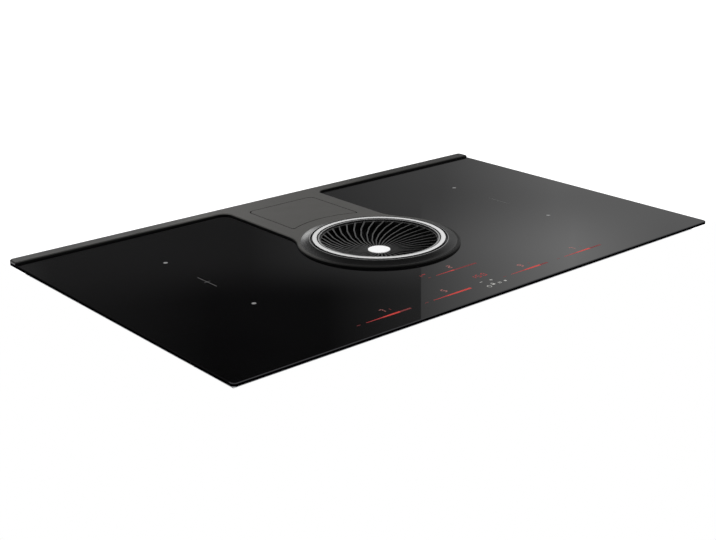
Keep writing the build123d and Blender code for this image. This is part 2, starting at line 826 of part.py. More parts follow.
# Leaf springs on the pan's sides, which centre the hob in the worktop opening
spring_thickness = 0.8
spring_width = 22.0
spring_top = -8.0
spring_height = 36.0
spring_tab = 7.0
spring_bulge = pan_clearance - seat_gap
spring_y = 150.0
with BuildPart() as leaf_spring:
    with BuildSketch(Plane.XZ.offset(-spring_width / 2)):
        with BuildLine():
            Polyline(
                (0, spring_top),
                (spring_thickness, spring_top),
                (spring_thickness, spring_top - spring_tab),
                (spring_bulge, spring_top - spring_height / 2),
                (spring_thickness, spring_top - spring_height),
                (0, spring_top - spring_height),
                (spring_bulge - spring_thickness, spring_top - spring_height / 2),
                (0, spring_top - spring_tab),
                close=True,
            )
        make_face()
    extrude(amount=spring_width)
with BuildPart() as mounting_springs:
    for y in (-spring_y, spring_y):
        with Locations((pan_width / 2, y, 0), Location((-pan_width / 2, y, 0), (0, 0, 180))):
            add(leaf_spring.part)
mounting_springs.part.label = "mounting_springs"
export_step(mounting_springs.part, "parts/mounting_springs.step")

# Moulded case under the pan: it tapers to the floor, has a rim screwed to the pan and
# upright ribs, and is open where the outlet and the mains cable come out
case_back_y = pan_length / 2 - case_back_inset
case_top = pan_bottom - seat_gap
case_height = case_top - case_bottom
case_length = case_back_y - case_front_y
case_middle_y = (case_back_y + case_front_y) / 2
case_rim = 12.0
case_rim_thickness = 3.0
case_ribs = 5
case_rib_pitch = 76.0
case_rib_width = 4.0
case_rib_depth = 3.0
case_cut = 12.0
outlet_gap = 1.0
box_gap = 17.5
box_left_x = plenum_right_x + box_gap
gland_inset = 26.0
gland_drop = 25.0
gland_x = box_left_x + gland_inset
gland_z = pan_bottom - gland_drop
gland_radius = 10.0
with BuildPart() as lower_case:
    with BuildSketch(Plane.XY.offset(case_top)):
        with Locations((0, case_middle_y)):
            RectangleRounded(2 * case_half_width, case_length, case_corner_radius)
    with BuildSketch(Plane.XY.offset(case_bottom)):
        with Locations((0, case_middle_y)):
            RectangleRounded(
                2 * (case_half_width - case_taper), case_length - 2 * case_taper, case_corner_radius
            )
    loft()
    with BuildSketch(Plane.XY.offset(case_top)):
        with Locations((0, case_middle_y)):
            RectangleRounded(
                2 * (case_half_width + case_rim),
                case_length,
                case_corner_radius,
            )
    extrude(amount=-case_rim_thickness)
    # ribs down the front
    with BuildSketch(Plane.XY.offset(case_top)):
        with Locations((0, case_front_y + case_taper)):
            with GridLocations(case_rib_pitch, 0, case_ribs, 1):
                Rectangle(case_rib_width, 2 * (case_rib_depth + case_taper))
    extrude(amount=-case_height)
    with BuildSketch(Plane.XY.offset(case_top)):
        with Locations((0, case_middle_y)):
            RectangleRounded(
                2 * (case_half_width - case_wall),
                case_length - 2 * case_wall,
                case_corner_radius - case_wall,
            )
    with BuildSketch(Plane.XY.offset(case_bottom + case_wall)):
        with Locations((0, case_middle_y)):
            RectangleRounded(
                2 * (case_half_width - case_wall - case_taper),
                case_length - 2 * (case_wall + case_taper),
                case_corner_radius - case_wall,
            )
    loft(mode=Mode.SUBTRACT)
    with BuildSketch(outlet_face):
        Rectangle(outlet_width + 2 * outlet_gap, outlet_height + 2 * outlet_gap)
        with Locations((gland_x, gland_z - outlet_middle_z)):
            Rectangle(2 * (gland_radius + outlet_gap), 2 * (gland_radius + outlet_gap))
    extrude(amount=case_cut, both=True, mode=Mode.SUBTRACT)
lower_case.part.label = "lower_case"
export_step(lower_case.part, "parts/lower_case.step")

# Terminal box under the pan, beside the filter shaft, with the gland for the mains cable
box_width = 56.0
box_front_y = 132.0
box_back_y = 214.0
box_height = 48.0
box_wall = 2.0
box_middle = (box_left_x + box_width / 2, (box_front_y + box_back_y) / 2)
box_plane = Plane.XY.offset(pan_bottom - seat_gap)
gland_length = 30.0
cable_radius = 6.0
gland_hex_length = 6.0
gland_shoulder = 1.0
gland_body_radius = gland_radius - gland_shoulder
gland_plane = Plane(origin=(gland_x, box_back_y, gland_z), x_dir=(1, 0, 0), z_dir=(0, 1, 0))
with BuildPart() as terminal_box:
    with BuildSketch(box_plane):
        with Locations(box_middle):
            Rectangle(box_width, box_back_y - box_front_y)
    extrude(amount=-box_height)
    with BuildSketch(box_plane.offset(-box_wall)):
        with Locations(box_middle):
            Rectangle(box_width - 2 * box_wall, box_back_y - box_front_y - 2 * box_wall)
    extrude(amount=2 * box_wall - box_height, mode=Mode.SUBTRACT)
    with BuildSketch(gland_plane):
        RegularPolygon(gland_body_radius, 6)
    extrude(amount=-2 * box_wall, mode=Mode.SUBTRACT)
terminal_box.part.label = "terminal_box"
export_step(terminal_box.part, "parts/terminal_box.step")

# Cable gland: six-sided body through the box wall, six-sided nut, and a bore for the cable
with BuildPart() as cable_gland:
    with BuildSketch(gland_plane.offset(-2 * box_wall)):
        RegularPolygon(gland_body_radius - running_gap, 6)
    extrude(amount=gland_length)
    with BuildSketch(gland_plane.offset(seat_gap)):
        RegularPolygon(gland_radius, 6)
    extrude(amount=gland_hex_length)
    with BuildSketch(gland_plane.offset(-2 * box_wall)):
        Circle(cable_radius)
    extrude(amount=gland_length, mode=Mode.SUBTRACT)
cable_gland.part.label = "cable_gland"
export_step(cable_gland.part, "parts/cable_gland.step")


# ---------------------------------------------------------------- coils and their electronics

mica_thickness = 0.5
mica_inset = 2.0
coil_top = glass_bottom - mica_thickness
coil_bottom = coil_top - coil_height
deck_thickness = 1.5
deck_margin = 7.0
deck_width = coil_width + 2 * deck_margin
deck_front_y = -186.0
deck_back_y = 222.0
deck_length = deck_back_y - deck_front_y
deck_y = (deck_back_y + deck_front_y) / 2
deck_top = coil_bottom
deck_window = 150.0
deck_window_height = 24.0
board_thickness = 1.6
board_gap = 4.5
board_width = 170.0
board_length = 250.0
board_y = -40.0
board_bottom = pan_floor + board_gap
board_top = board_bottom + board_thickness
standoff_size = 6.0
sink_width = 70.0
sink_length = 130.0
sink_height = 24.0
sink_base = 5.0
sink_fins = 8
fin_sheet = 2.0
sink_offset = 4.0
capacitor_offset = 52.0
capacitor_pitch = 46.0
capacitor_size = (26.0, 34.0)
capacitor_height = 18.0
choke_offset = 62.0
choke_pitch = 60.0
choke_size = (22.0, 30.0)
choke_height = 14.0
sensor_radius = 9.0
fan_size = 80.0
fan_height = 25.0
fan_bore = 37.5
fan_cup_radius = 17.0
fan_cup_sides = 16
fan_pin_radius = 2.0
fan_spoke = 6.0
fan_floor = 3.0
fan_blades = 5
fan_bottom = pan_floor
fan_blade_thickness = 1.4
fan_blade_slant = 38.0
fan_blade_root = 1.0
fan_tip_gap = 1.5
fan_recess = 1.5
rotor_bottom = fan_bottom + fan_floor + spin_gap
rotor_height = fan_height - fan_floor - spin_gap - fan_recess
pin_top = rotor_bottom + rotor_height / 2

# One fan blade: a flat plate set at a slant between the hub and the bore
with BuildPart() as fan_blade:
    blade_start = fan_cup_radius - fan_blade_root
    blade_reach = fan_bore - fan_tip_gap - blade_start
    blade_middle = (blade_start + blade_reach / 2, 0, rotor_height / 2)
    with Locations(Location(blade_middle, (fan_blade_slant, 0, 0))):
        Box(blade_reach, fan_blade_thickness, rotor_height)

for side, hand in ((-1, "left"), (1, "right")):
    # insulating sheet between the glass and this side's coils
    with BuildPart() as mica_sheet:
        with BuildSketch(Plane.XY.offset(coil_top)):
            with Locations((side * zone_x, deck_y)):
                Rectangle(deck_width - 2 * mica_inset, deck_length - 2 * mica_inset)
        extrude(amount=mica_thickness)
    mica_sheet.part.label = "mica_sheet_" + hand
    export_step(mica_sheet.part, "parts/mica_sheet_" + hand + ".step")

    # flat wound coils with cut corners and an open eye
    for place, zone_y in (("rear", zone_rear_y), ("front", zone_front_y)):
        with BuildPart() as coil:
            with BuildSketch(Plane.XY.offset(coil_bottom)) as coil_plan:
                with Locations((side * zone_x, zone_y)):
                    Rectangle(coil_width, coil_depth)
                chamfer(coil_plan.vertices(), length=coil_corner_cut)
                with Locations((side * zone_x, zone_y)):
                    RegularPolygon(coil_eye / 2, 8, mode=Mode.SUBTRACT)
            extrude(amount=coil_height)
        coil.part.label = "coil_" + hand + "_" + place
        export_step(coil.part, "parts/coil_" + hand + "_" + place + ".step")

    # temperature sensors in the eyes of the coils, pressed on the mica
    with BuildPart() as sensors:
        with BuildSketch(Plane.XY.offset(coil_top)):
            with Locations((side * zone_x, zone_rear_y), (side * zone_x, zone_front_y)):
                RegularPolygon(sensor_radius, 8)
        extrude(amount=-coil_height)
    sensors.part.label = "sensors_" + hand
    export_step(sensors.part, "parts/sensors_" + hand + ".step")

    # aluminium deck: a folded sheet whose flanges stand on the pan's floor
    with BuildPart() as coil_deck:
        with BuildSketch(Plane.XY.offset(deck_top)):
            with Locations((side * zone_x, deck_y)):
                Rectangle(deck_width, deck_length)
        extrude(amount=pan_floor - deck_top)
        with BuildSketch(Plane.XY.offset(deck_top - deck_thickness)):
            with Locations((side * zone_x, deck_y)):
                Rectangle(deck_width - 2 * deck_thickness, deck_length + deck_thickness)
        extrude(amount=pan_floor - deck_top, mode=Mode.SUBTRACT)
        flange_middle_z = (deck_top + pan_floor) / 2
        deck_side = Plane(
            origin=(side * zone_x, deck_y, flange_middle_z), x_dir=(0, 1, 0), z_dir=(1, 0, 0)
        )
        with BuildSketch(deck_side):
            with GridLocations(deck_length / 2, 0, 2, 1):
                Rectangle(deck_window, deck_window_height)
        extrude(amount=deck_width, both=True, mode=Mode.SUBTRACT)
    coil_deck.part.label = "coil_deck_" + hand
    export_step(coil_deck.part, "parts/coil_deck_" + hand + ".step")

    # inverter board on four posts, with its capacitors and chokes
    with BuildPart() as inverter_board:
        with BuildSketch(Plane.XY.offset(board_bottom)):
            with Locations((side * zone_x, board_y)):
                Rectangle(board_width, board_length)
        extrude(amount=board_thickness)
        with BuildSketch(Plane.XY.offset(pan_floor)):
            with Locations((side * zone_x, board_y)):
                with GridLocations(board_width - standoff_size, board_length - standoff_size, 2, 2):
                    Rectangle(standoff_size, standoff_size)
        extrude(amount=board_gap)
        with BuildSketch(Plane.XY.offset(board_top)):
            with Locations((side * (zone_x + capacitor_offset), board_y)):
                with GridLocations(0, capacitor_pitch, 1, 4):
                    Rectangle(*capacitor_size)
        extrude(amount=capacitor_height)
        with BuildSketch(Plane.XY.offset(board_top)):
            with Locations((side * (zone_x - choke_offset), board_y)):
                with GridLocations(0, choke_pitch, 1, 3):
                    Rectangle(*choke_size)
        extrude(amount=choke_height)
    inverter_board.part.label = "inverter_board_" + hand
    export_step(inverter_board.part, "parts/inverter_board_" + hand + ".step")

    # finned heat sink on the board, in the fan's draught
    with BuildPart() as heat_sink:
        with BuildSketch(Plane.XY.offset(board_top)):
            with Locations((side * (zone_x - sink_offset), board_y)):
                Rectangle(sink_width, sink_length)
        extrude(amount=sink_base)
        with BuildSketch(Plane.XY.offset(board_top + sink_base)):
            with Locations((side * (zone_x - sink_offset), board_y)):
                with GridLocations((sink_width - fin_sheet) / (sink_fins - 1), 0, sink_fins, 1):
                    Rectangle(fin_sheet, sink_length)
        extrude(amount=sink_height - sink_base)
    heat_sink.part.label = "heat_sink_" + hand
    export_step(heat_sink.part, "parts/heat_sink_" + hand + ".step")

    # square fan frame with a round bore, and the spokes and pin that carry the rotor
    with BuildPart() as fan_frame:
        with Locations((side * fan_x, fan_y, fan_bottom + fan_height / 2)):
            Box(fan_size, fan_size, fan_height)
        with BuildSketch(Plane.XY.offset(fan_bottom)):
            with Locations((side * fan_x, fan_y)):
                Circle(fan_bore)
        extrude(amount=fan_height, mode=Mode.SUBTRACT)
        with BuildSketch(Plane.XY.offset(fan_bottom)):
            with Locations((side * fan_x, fan_y)):
                Rectangle(2 * fan_bore + fan_floor, fan_spoke)
                Rectangle(fan_spoke, 2 * fan_bore + fan_floor)
                RegularPolygon(fan_cup_radius - spin_gap, 8)
        extrude(amount=fan_floor)
        with BuildSketch(Plane.XY.offset(fan_bottom)):
            with Locations((side * fan_x, fan_y)):
                Circle(fan_pin_radius)
        extrude(amount=pin_top - fan_bottom)
    fan_frame.part.label = "fan_frame_" + hand
    export_step(fan_frame.part, "parts/fan_frame_" + hand + ".step")

    # fan rotor: a cup that runs on the pin, with slanted blades
    with BuildPart() as fan_rotor:
        with BuildSketch(Plane.XY.offset(rotor_bottom)):
            with Locations((side * fan_x, fan_y)):
                RegularPolygon(fan_cup_radius, fan_cup_sides)
        extrude(amount=rotor_height)
        with Locations((side * fan_x, fan_y, rotor_bottom)):
            with PolarLocations(0, fan_blades):
                add(fan_blade.part)
        with BuildSketch(Plane.XY.offset(rotor_bottom)):
            with Locations((side * fan_x, fan_y)):
                Circle(fan_pin_radius + running_gap)
        extrude(amount=pin_top + spin_gap - rotor_bottom, mode=Mode.SUBTRACT)
    fan_rotor.part.label = "fan_rotor_" + hand
    export_step(fan_rotor.part, "parts/fan_rotor_" + hand + ".step")

# Touch board behind the front edge, with a tab up to the fan slider, and its light guide
touch_width = 470.0
touch_back_y = -200.0
touch_front_y = -236.0
touch_tab_width = 110.0
touch_tab_back_y = -136.0
touch_guide_top = glass_bottom
touch_guide_height = 5.4
touch_board_thickness = 1.6
touch_middle_y = (touch_back_y + touch_front_y) / 2
touch_depth = touch_back_y - touch_front_y
touch_wall = 2.0
guide_bars = 4


def touch_outline(inset, plane):
    """Outline of the touch board: a long strip with a tab in the middle, drawn in."""
    with BuildSketch(plane) as outline:
        with Locations((0, touch_middle_y)):
            Rectangle(touch_width - 2 * inset, touch_depth - 2 * inset)
        with Locations((0, (touch_tab_back_y + touch_middle_y) / 2)):
            Rectangle(touch_tab_width - 2 * inset, touch_tab_back_y - touch_middle_y - 2 * inset)
    return outline.sketch


with BuildPart() as display_guide:
    add(touch_outline(0, Plane.XY.offset(touch_guide_top)))
    extrude(amount=-touch_guide_height)
    add(touch_outline(touch_wall, Plane.XY.offset(touch_guide_top)))
    extrude(amount=-touch_guide_height, mode=Mode.SUBTRACT)
    with BuildSketch(Plane.XY.offset(touch_guide_top - touch_guide_height)):
        with Locations((0, touch_middle_y)):
            with GridLocations(touch_width / (guide_bars + 1), 0, guide_bars, 1):
                Rectangle(touch_wall, touch_depth)
    extrude(amount=touch_guide_height)
display_guide.part.label = "display_guide"
export_step(display_guide.part, "parts/display_guide.step")

with BuildPart() as touch_board:
    add(touch_outline(0, Plane.XY.offset(touch_guide_top - touch_guide_height)))
    extrude(amount=-touch_board_thickness)
touch_board.part.label = "touch_board"
export_step(touch_board.part, "parts/touch_board.step")
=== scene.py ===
import math
import bpy
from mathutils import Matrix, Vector


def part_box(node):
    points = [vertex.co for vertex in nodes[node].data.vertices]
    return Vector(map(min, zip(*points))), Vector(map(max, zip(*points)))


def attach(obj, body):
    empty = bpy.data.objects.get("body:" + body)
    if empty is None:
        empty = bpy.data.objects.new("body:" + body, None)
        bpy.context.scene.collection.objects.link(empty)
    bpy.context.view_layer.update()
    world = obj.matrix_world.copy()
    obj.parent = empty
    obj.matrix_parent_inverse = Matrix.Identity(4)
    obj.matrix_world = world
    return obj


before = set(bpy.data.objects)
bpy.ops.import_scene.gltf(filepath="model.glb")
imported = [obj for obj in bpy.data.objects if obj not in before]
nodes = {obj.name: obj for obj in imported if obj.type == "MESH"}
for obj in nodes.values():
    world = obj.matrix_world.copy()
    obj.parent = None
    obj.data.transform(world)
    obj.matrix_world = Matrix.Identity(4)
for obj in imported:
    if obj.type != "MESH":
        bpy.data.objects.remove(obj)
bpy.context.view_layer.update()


# ------------------------------------------------------------ lower case
# The case under the hob is one moulding of black glass-filled plastic with a spark-eroded
# grain. It is screwed to the steel pan through its rim.

def soften(name, angle=28):
    """Shades a frame node smoothly and keeps the edges sharper than the angle crisp."""
    piece = nodes[name]
    for face in piece.data.polygons:
        face.use_smooth = True
    weld = piece.modifiers.new("weld", "WELD")
    weld.merge_threshold = 0.00001
    split = piece.modifiers.new("crisp", "EDGE_SPLIT")
    split.split_angle = math.radians(angle)
    split.use_edge_sharp = False


def material(name, colour, roughness, metallic=0.0):
    """A Principled material, and its node tree and shader, to build a finish on."""
    made = bpy.data.materials.new(name)
    made.use_nodes = True
    tree = made.node_tree
    shader = tree.nodes["Principled BSDF"]
    shader.inputs["Base Color"].default_value = (*colour, 1)
    shader.inputs["Roughness"].default_value = roughness
    shader.inputs["Metallic"].default_value = metallic
    return made, tree, shader


def place(tree, scale=(1, 1, 1)):
    """Object coordinates, scaled along each axis."""
    coordinates = tree.nodes.new("ShaderNodeTexCoord")
    mapping = tree.nodes.new("ShaderNodeMapping")
    mapping.inputs["Scale"].default_value = scale
    tree.links.new(coordinates.outputs["Object"], mapping.inputs["Vector"])
    return mapping.outputs["Vector"]


def noise(tree, scale, detail=4.0, stretch=(1, 1, 1)):
    """Noise on object coordinates; the output is its grey value."""
    texture = tree.nodes.new("ShaderNodeTexNoise")
    texture.inputs["Scale"].default_value = scale
    texture.inputs["Detail"].default_value = detail
    tree.links.new(place(tree, stretch), texture.inputs["Vector"])
    return texture.outputs["Fac"]


noise_low = 0.3
noise_high = 0.7


def spread(tree, value, low, high):
    """Maps a grey value, which mostly keeps within the limits of noise, between two others."""
    ranged = tree.nodes.new("ShaderNodeMapRange")
    ranged.inputs["From Min"].default_value = noise_low
    ranged.inputs["From Max"].default_value = noise_high
    ranged.inputs["To Min"].default_value = low
    ranged.inputs["To Max"].default_value = high
    tree.links.new(value, ranged.inputs["Value"])
    return ranged.outputs["Result"]


def tint(tree, value, dark, light):
    """A colour between two colours, by a grey value."""
    ramp = tree.nodes.new("ShaderNodeValToRGB")
    ramp.color_ramp.elements[0].position = noise_low
    ramp.color_ramp.elements[0].color = (*dark, 1)
    ramp.color_ramp.elements[1].position = noise_high
    ramp.color_ramp.elements[1].color = (*light, 1)
    tree.links.new(value, ramp.inputs["Fac"])
    return ramp.outputs["Color"]


def relief(tree, shader, value, strength, depth):
    """Bump from a grey value."""
    bump = tree.nodes.new("ShaderNodeBump")
    bump.inputs["Strength"].default_value = strength
    bump.inputs["Distance"].default_value = depth
    tree.links.new(value, bump.inputs["Height"])
    tree.links.new(bump.outputs["Normal"], shader.inputs["Normal"])


eroded_grain = 900.0
eroded_depth = 0.00012


def moulded(name, colour, roughness):
    """Moulded plastic: spark-eroded grain, slight flow marks in colour and gloss."""
    made, tree, shader = material(name, colour, roughness)
    flow = noise(tree, 9.0, 3.0)
    dark = [0.8 * part for part in colour]
    light = [min(1.0, 1.25 * part) for part in colour]
    tree.links.new(tint(tree, flow, dark, light), shader.inputs["Base Color"])
    tree.links.new(spread(tree, noise(tree, 60.0), roughness - 0.08, roughness + 0.1),
                   shader.inputs["Roughness"])
    relief(tree, shader, noise(tree, eroded_grain, 2.0), 0.5, eroded_depth)
    return made


def finish(finish_material, *names):
    """Gives frame nodes a material in place of their own."""
    for name in names:
        nodes[name].data.materials.clear()
        nodes[name].data.materials.append(finish_material)


case_plastic = moulded("case_plastic", (0.030, 0.030, 0.032), 0.55)
finish(case_plastic, "lower_case", "terminal_box")
soften("lower_case")


# ------------------------------------------------------------ blower housing, shaft and outlet
# Black plastic mouldings clipped together inside the case, a shade greyer than the case.
# Only the outlet's collar shows at the back.

duct_plastic = moulded("duct_plastic", (0.045, 0.045, 0.047), 0.48)
finish(duct_plastic, "scroll_lower", "scroll_lid", "intake_sleeve", "plenum_box", "filter_shaft",
       "outlet_adaptor")
for name in ("scroll_lower", "scroll_lid", "intake_sleeve", "plenum_box"):
    soften(name)


# ------------------------------------------------------------ blower
# Glass-filled nylon wheel on a ground steel shaft, driven by a motor in a painted can. The
# shaft's grinding marks run round it, and the can's paint is lightly textured.

drawn_grain = 180.0
drawn_depth = 0.00004
wheel_plastic = moulded("wheel_plastic", (0.02, 0.02, 0.02), 0.4)
finish(wheel_plastic, "blower_wheel")
soften("blower_wheel")


def metal(name, colour, roughness, stretch=(1, 1, 1)):
    """Metal with fine drawn or brushed lines, by the stretch of its grain."""
    made, tree, shader = material(name, colour, roughness, 1.0)
    lines = noise(tree, drawn_grain, 6.0, stretch)
    dark = [0.86 * part for part in colour]
    light = [min(1.0, 1.08 * part) for part in colour]
    tree.links.new(tint(tree, lines, dark, light), shader.inputs["Base Color"])
    tree.links.new(spread(tree, lines, roughness - 0.06, roughness + 0.08),
                   shader.inputs["Roughness"])
    relief(tree, shader, lines, 0.25, drawn_depth)
    return made


ground_steel = metal("ground_steel", (0.62, 0.62, 0.61), 0.24, (1, 1, 14))
finish(ground_steel, "blower_shaft")
soften("blower_shaft")
motor_paint, motor_tree, motor_shader = material("motor_paint", (0.05, 0.05, 0.055), 0.38)
relief(motor_tree, motor_shader, noise(motor_tree, 500.0, 3.0), 0.35, 0.00008)
finish(motor_paint, "blower_motor")
soften("blower_motor")


# ------------------------------------------------------------ steel pan and springs
# Folded from zinc-coated sheet with a faint spangle, bonded under the glass. The leaf springs
# on its sides are bare spring steel.

zinc, zinc_tree, zinc_shader = material("zinc_sheet", (0.36, 0.365, 0.375), 0.42, 1.0)
spangle = zinc_tree.nodes.new("ShaderNodeTexVoronoi")
spangle.inputs["Scale"].default_value = 130.0
zinc_tree.links.new(place(zinc_tree), spangle.inputs["Vector"])
spangle_grey = zinc_tree.nodes.new("ShaderNodeSeparateColor")
zinc_tree.links.new(spangle.outputs["Color"], spangle_grey.inputs["Color"])
zinc_tree.links.new(
    tint(zinc_tree, spangle_grey.outputs["Red"], (0.33, 0.335, 0.345), (0.40, 0.405, 0.415)),
    zinc_shader.inputs["Base Color"])
zinc_tree.links.new(spread(zinc_tree, spangle_grey.outputs["Red"], 0.38, 0.5),
                    zinc_shader.inputs["Roughness"])
finish(zinc, "hob_pan")
spring_steel = metal("spring_steel", (0.42, 0.42, 0.41), 0.34, (1, 12, 1))
finish(spring_steel, "mounting_springs")


# ------------------------------------------------------------ screws and laps of the pan and case
# Zinc-plated pan-head screws with a six-lobe socket, all one model. They hold the pan's walls,
# the case's rim and the earth tag. Folded laps close the pan's corners with spot welds.

head_radius = 0.0034
head_height = 0.0019
head_round = 0.0007
socket_rim = 0.0019
socket_depth = 0.0011
socket_radius = head_radius - socket_rim / 2
lobes = 6
lobe_share = 0.8
lobe_gap_level = 0.5
screw_sides = 24
tolerance = 0.00001
plating = metal("zinc_plating", (0.42, 0.42, 0.43), 0.3)

bpy.ops.object.select_all(action="DESELECT")
bpy.ops.mesh.primitive_cylinder_add(vertices=screw_sides, radius=head_radius, depth=head_height,
                                    location=(0, 0, 0))
screw = bpy.context.object
screw.name = "screw"
bpy.ops.object.mode_set(mode="EDIT")
bpy.ops.mesh.select_all(action="SELECT")
bpy.ops.transform.translate(value=(0, 0, head_height / 2))


def select_vertices(piece, wanted):
    """Selects the vertices, in edit mode, that a test on their place picks."""
    bpy.ops.mesh.select_mode(type="VERT")
    bpy.ops.mesh.select_all(action="DESELECT")
    bpy.ops.object.mode_set(mode="OBJECT")
    for vertex in piece.data.vertices:
        vertex.select = wanted(vertex.co)
    bpy.ops.object.mode_set(mode="EDIT")


def on_top(point):
    """True on the head's level top."""
    return point.z > head_height - tolerance


def in_lobe_gap(point):
    """True on the socket's rim where the lobes draw in."""
    return (math.hypot(point.x, point.y) < socket_radius
            and math.cos(lobes * math.atan2(point.y, point.x)) < lobe_gap_level)


def in_socket(point):
    """True on the top inside the socket's rim."""
    return math.hypot(point.x, point.y) < socket_radius and point.z > head_height / 2


select_vertices(screw, on_top)
bpy.ops.mesh.select_mode(type="FACE")
bpy.ops.mesh.bevel(offset=head_round, segments=3, affect="EDGES")
select_vertices(screw, on_top)
bpy.ops.mesh.select_mode(type="FACE")
bpy.ops.mesh.inset(thickness=socket_rim - head_round)
select_vertices(screw, in_lobe_gap)
bpy.ops.transform.resize(value=(lobe_share, lobe_share, 1))
select_vertices(screw, in_socket)
bpy.ops.mesh.select_mode(type="FACE")
bpy.ops.mesh.extrude_region_move(TRANSFORM_OT_translate={"value": (0, 0, -socket_depth)})
bpy.ops.mesh.select_all(action="SELECT")
bpy.ops.mesh.normals_make_consistent(inside=False)
bpy.ops.object.mode_set(mode="OBJECT")
screw.data.materials.append(plating)


def copied(model, place, turn):
    """A copy of a model with a mesh of its own, moved and turned, with its place in the mesh."""
    copy = model.copy()
    copy.data = model.data.copy()
    bpy.context.collection.objects.link(copy)
    copy.location = place
    copy.rotation_euler = turn
    bpy.ops.object.select_all(action="DESELECT")
    copy.select_set(True)
    bpy.context.view_layer.objects.active = copy
    bpy.ops.object.transform_apply(location=True, rotation=True, scale=True)
    return copy


def join(name, parts):
    """Joins parts to one piece, which rides on the base."""
    bpy.ops.object.select_all(action="DESELECT")
    for part in parts:
        part.select_set(True)
    bpy.context.view_layer.objects.active = parts[0]
    bpy.ops.object.join()
    joined = bpy.context.object
    joined.name = name
    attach(joined, "base")
    return joined


pan_low, pan_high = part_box("hob_pan")
case_low, case_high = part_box("lower_case")
quarter = math.radians(90)
to_right, to_left = (0, quarter, 0), (0, -quarter, 0)
to_back, to_front, to_floor = (-quarter, 0, 0), (quarter, 0, 0), (2 * quarter, 0, 0)
wall_screw_rise = 0.012
wall_screw_z = pan_low[2] + wall_screw_rise
side_screw_y = 0.075
wall_screw_x = 0.17
outer_screw_x = 0.35
wall_screws = []
for y in (-side_screw_y, side_screw_y):
    wall_screws.append(copied(screw, (pan_high[0], y, wall_screw_z), to_right))
    wall_screws.append(copied(screw, (pan_low[0], y, wall_screw_z), to_left))
for x in (-outer_screw_x, -wall_screw_x, wall_screw_x, outer_screw_x):
    wall_screws.append(copied(screw, (x, pan_high[1], wall_screw_z), to_back))
for x in (-outer_screw_x, 0, outer_screw_x):
    wall_screws.append(copied(screw, (x, pan_low[1], wall_screw_z), to_front))
join("pan_screws", wall_screws)

rim_middle = 0.006
rim_thickness = 0.003
rim_screw_rows = (-0.15, -0.05, 0.05, 0.15)
rim_screws = []
for x in (case_low[0] + rim_middle, case_high[0] - rim_middle):
    for y in rim_screw_rows:
        rim_screws.append(copied(screw, (x, y, case_high[2] - rim_thickness), to_floor))
join("case_screws", rim_screws)

sheet_thickness = 0.0008
sheet_edge_round = 0.0003


def sheet_strip(name, width, length, shift, sheet_material):
    """A strip of sheet with rounded edges, lying on its origin and shifted along its length."""
    bpy.ops.object.select_all(action="DESELECT")
    bpy.ops.mesh.primitive_cube_add(size=1, location=(0, 0, 0))
    strip = bpy.context.object
    strip.name = name
    bpy.ops.object.mode_set(mode="EDIT")
    bpy.ops.mesh.select_all(action="SELECT")
    bpy.ops.transform.resize(value=(width, length, sheet_thickness))
    bpy.ops.transform.translate(value=(0, shift, sheet_thickness / 2))
    bpy.ops.mesh.bevel(offset=sheet_edge_round, segments=2, affect="EDGES")
    bpy.ops.object.mode_set(mode="OBJECT")
    strip.data.materials.append(sheet_material)
    return strip


lap_width = 0.014
lap_length = 0.052
lap_inset = 0.001
lap = sheet_strip("lap", lap_width, lap_length, 0, zinc)

weld_radius = 0.0021
weld_height = 0.0003
weld_rim = 0.0006
weld_sides = 20
bpy.ops.object.select_all(action="DESELECT")
bpy.ops.mesh.primitive_cylinder_add(vertices=weld_sides, radius=weld_radius, depth=weld_height,
                                    location=(0, 0, 0))
spot = bpy.context.object
spot.name = "spot"
bpy.ops.object.mode_set(mode="EDIT")
select_vertices(spot, lambda point: point.z > 0)
bpy.ops.mesh.select_mode(type="FACE")
bpy.ops.mesh.inset(thickness=weld_rim)
bpy.ops.transform.translate(value=(0, 0, -weld_height / 3))
bpy.ops.object.mode_set(mode="OBJECT")
scorched = metal("weld_spot", (0.2, 0.19, 0.18), 0.45)
spot.data.materials.append(scorched)

wall_middle_rise = 0.03
lap_z = pan_low[2] + wall_middle_rise
weld_pitch = 0.016
laps = []
for side in (-1, 1):
    wall_x = pan_high[0] if side > 0 else pan_low[0]
    turn = (quarter, 0, side * quarter)
    for wall_y in (pan_low[1] + lap_width / 2 + lap_inset, pan_high[1] - lap_width / 2 - lap_inset):
        laps.append(copied(lap, (wall_x, wall_y, lap_z), turn))
        for step in (-1, 0, 1):
            place_z = lap_z + step * weld_pitch
            laps.append(copied(spot, (wall_x + side * sheet_thickness, wall_y, place_z), turn))
join("corner_laps", laps)

earth_gap = 0.02
earth_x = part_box("terminal_box")[1][0] + earth_gap
earth_z = pan_low[2] + wall_middle_rise
tag_width = 0.0064
tag_length = 0.02
tag = sheet_strip("tag", tag_width, tag_length, tag_length / 4, plating)
tag_turn = (quarter, 0, 2 * quarter)
join("earth_tag", [
    copied(tag, (earth_x, pan_high[1], earth_z), tag_turn),
    copied(screw, (earth_x, pan_high[1] + sheet_thickness, earth_z), to_back),
])
for model in (screw, lap, spot, tag):
    bpy.data.objects.remove(model)


# ------------------------------------------------------------ cable gland
# Moulded grey nylon gland, screwed into the terminal box's wall. Its bore takes the mains
# cord, which isn't part of this model.

gland_plastic = moulded("gland_plastic", (0.09, 0.09, 0.09), 0.5)
finish(gland_plastic, "cable_gland")


# ------------------------------------------------------------ electronics in the pan
# Inverter boards on posts, aluminium heat sinks and decks, flat litz-wire coils under mica,
# fans and the touch board with its light guide.

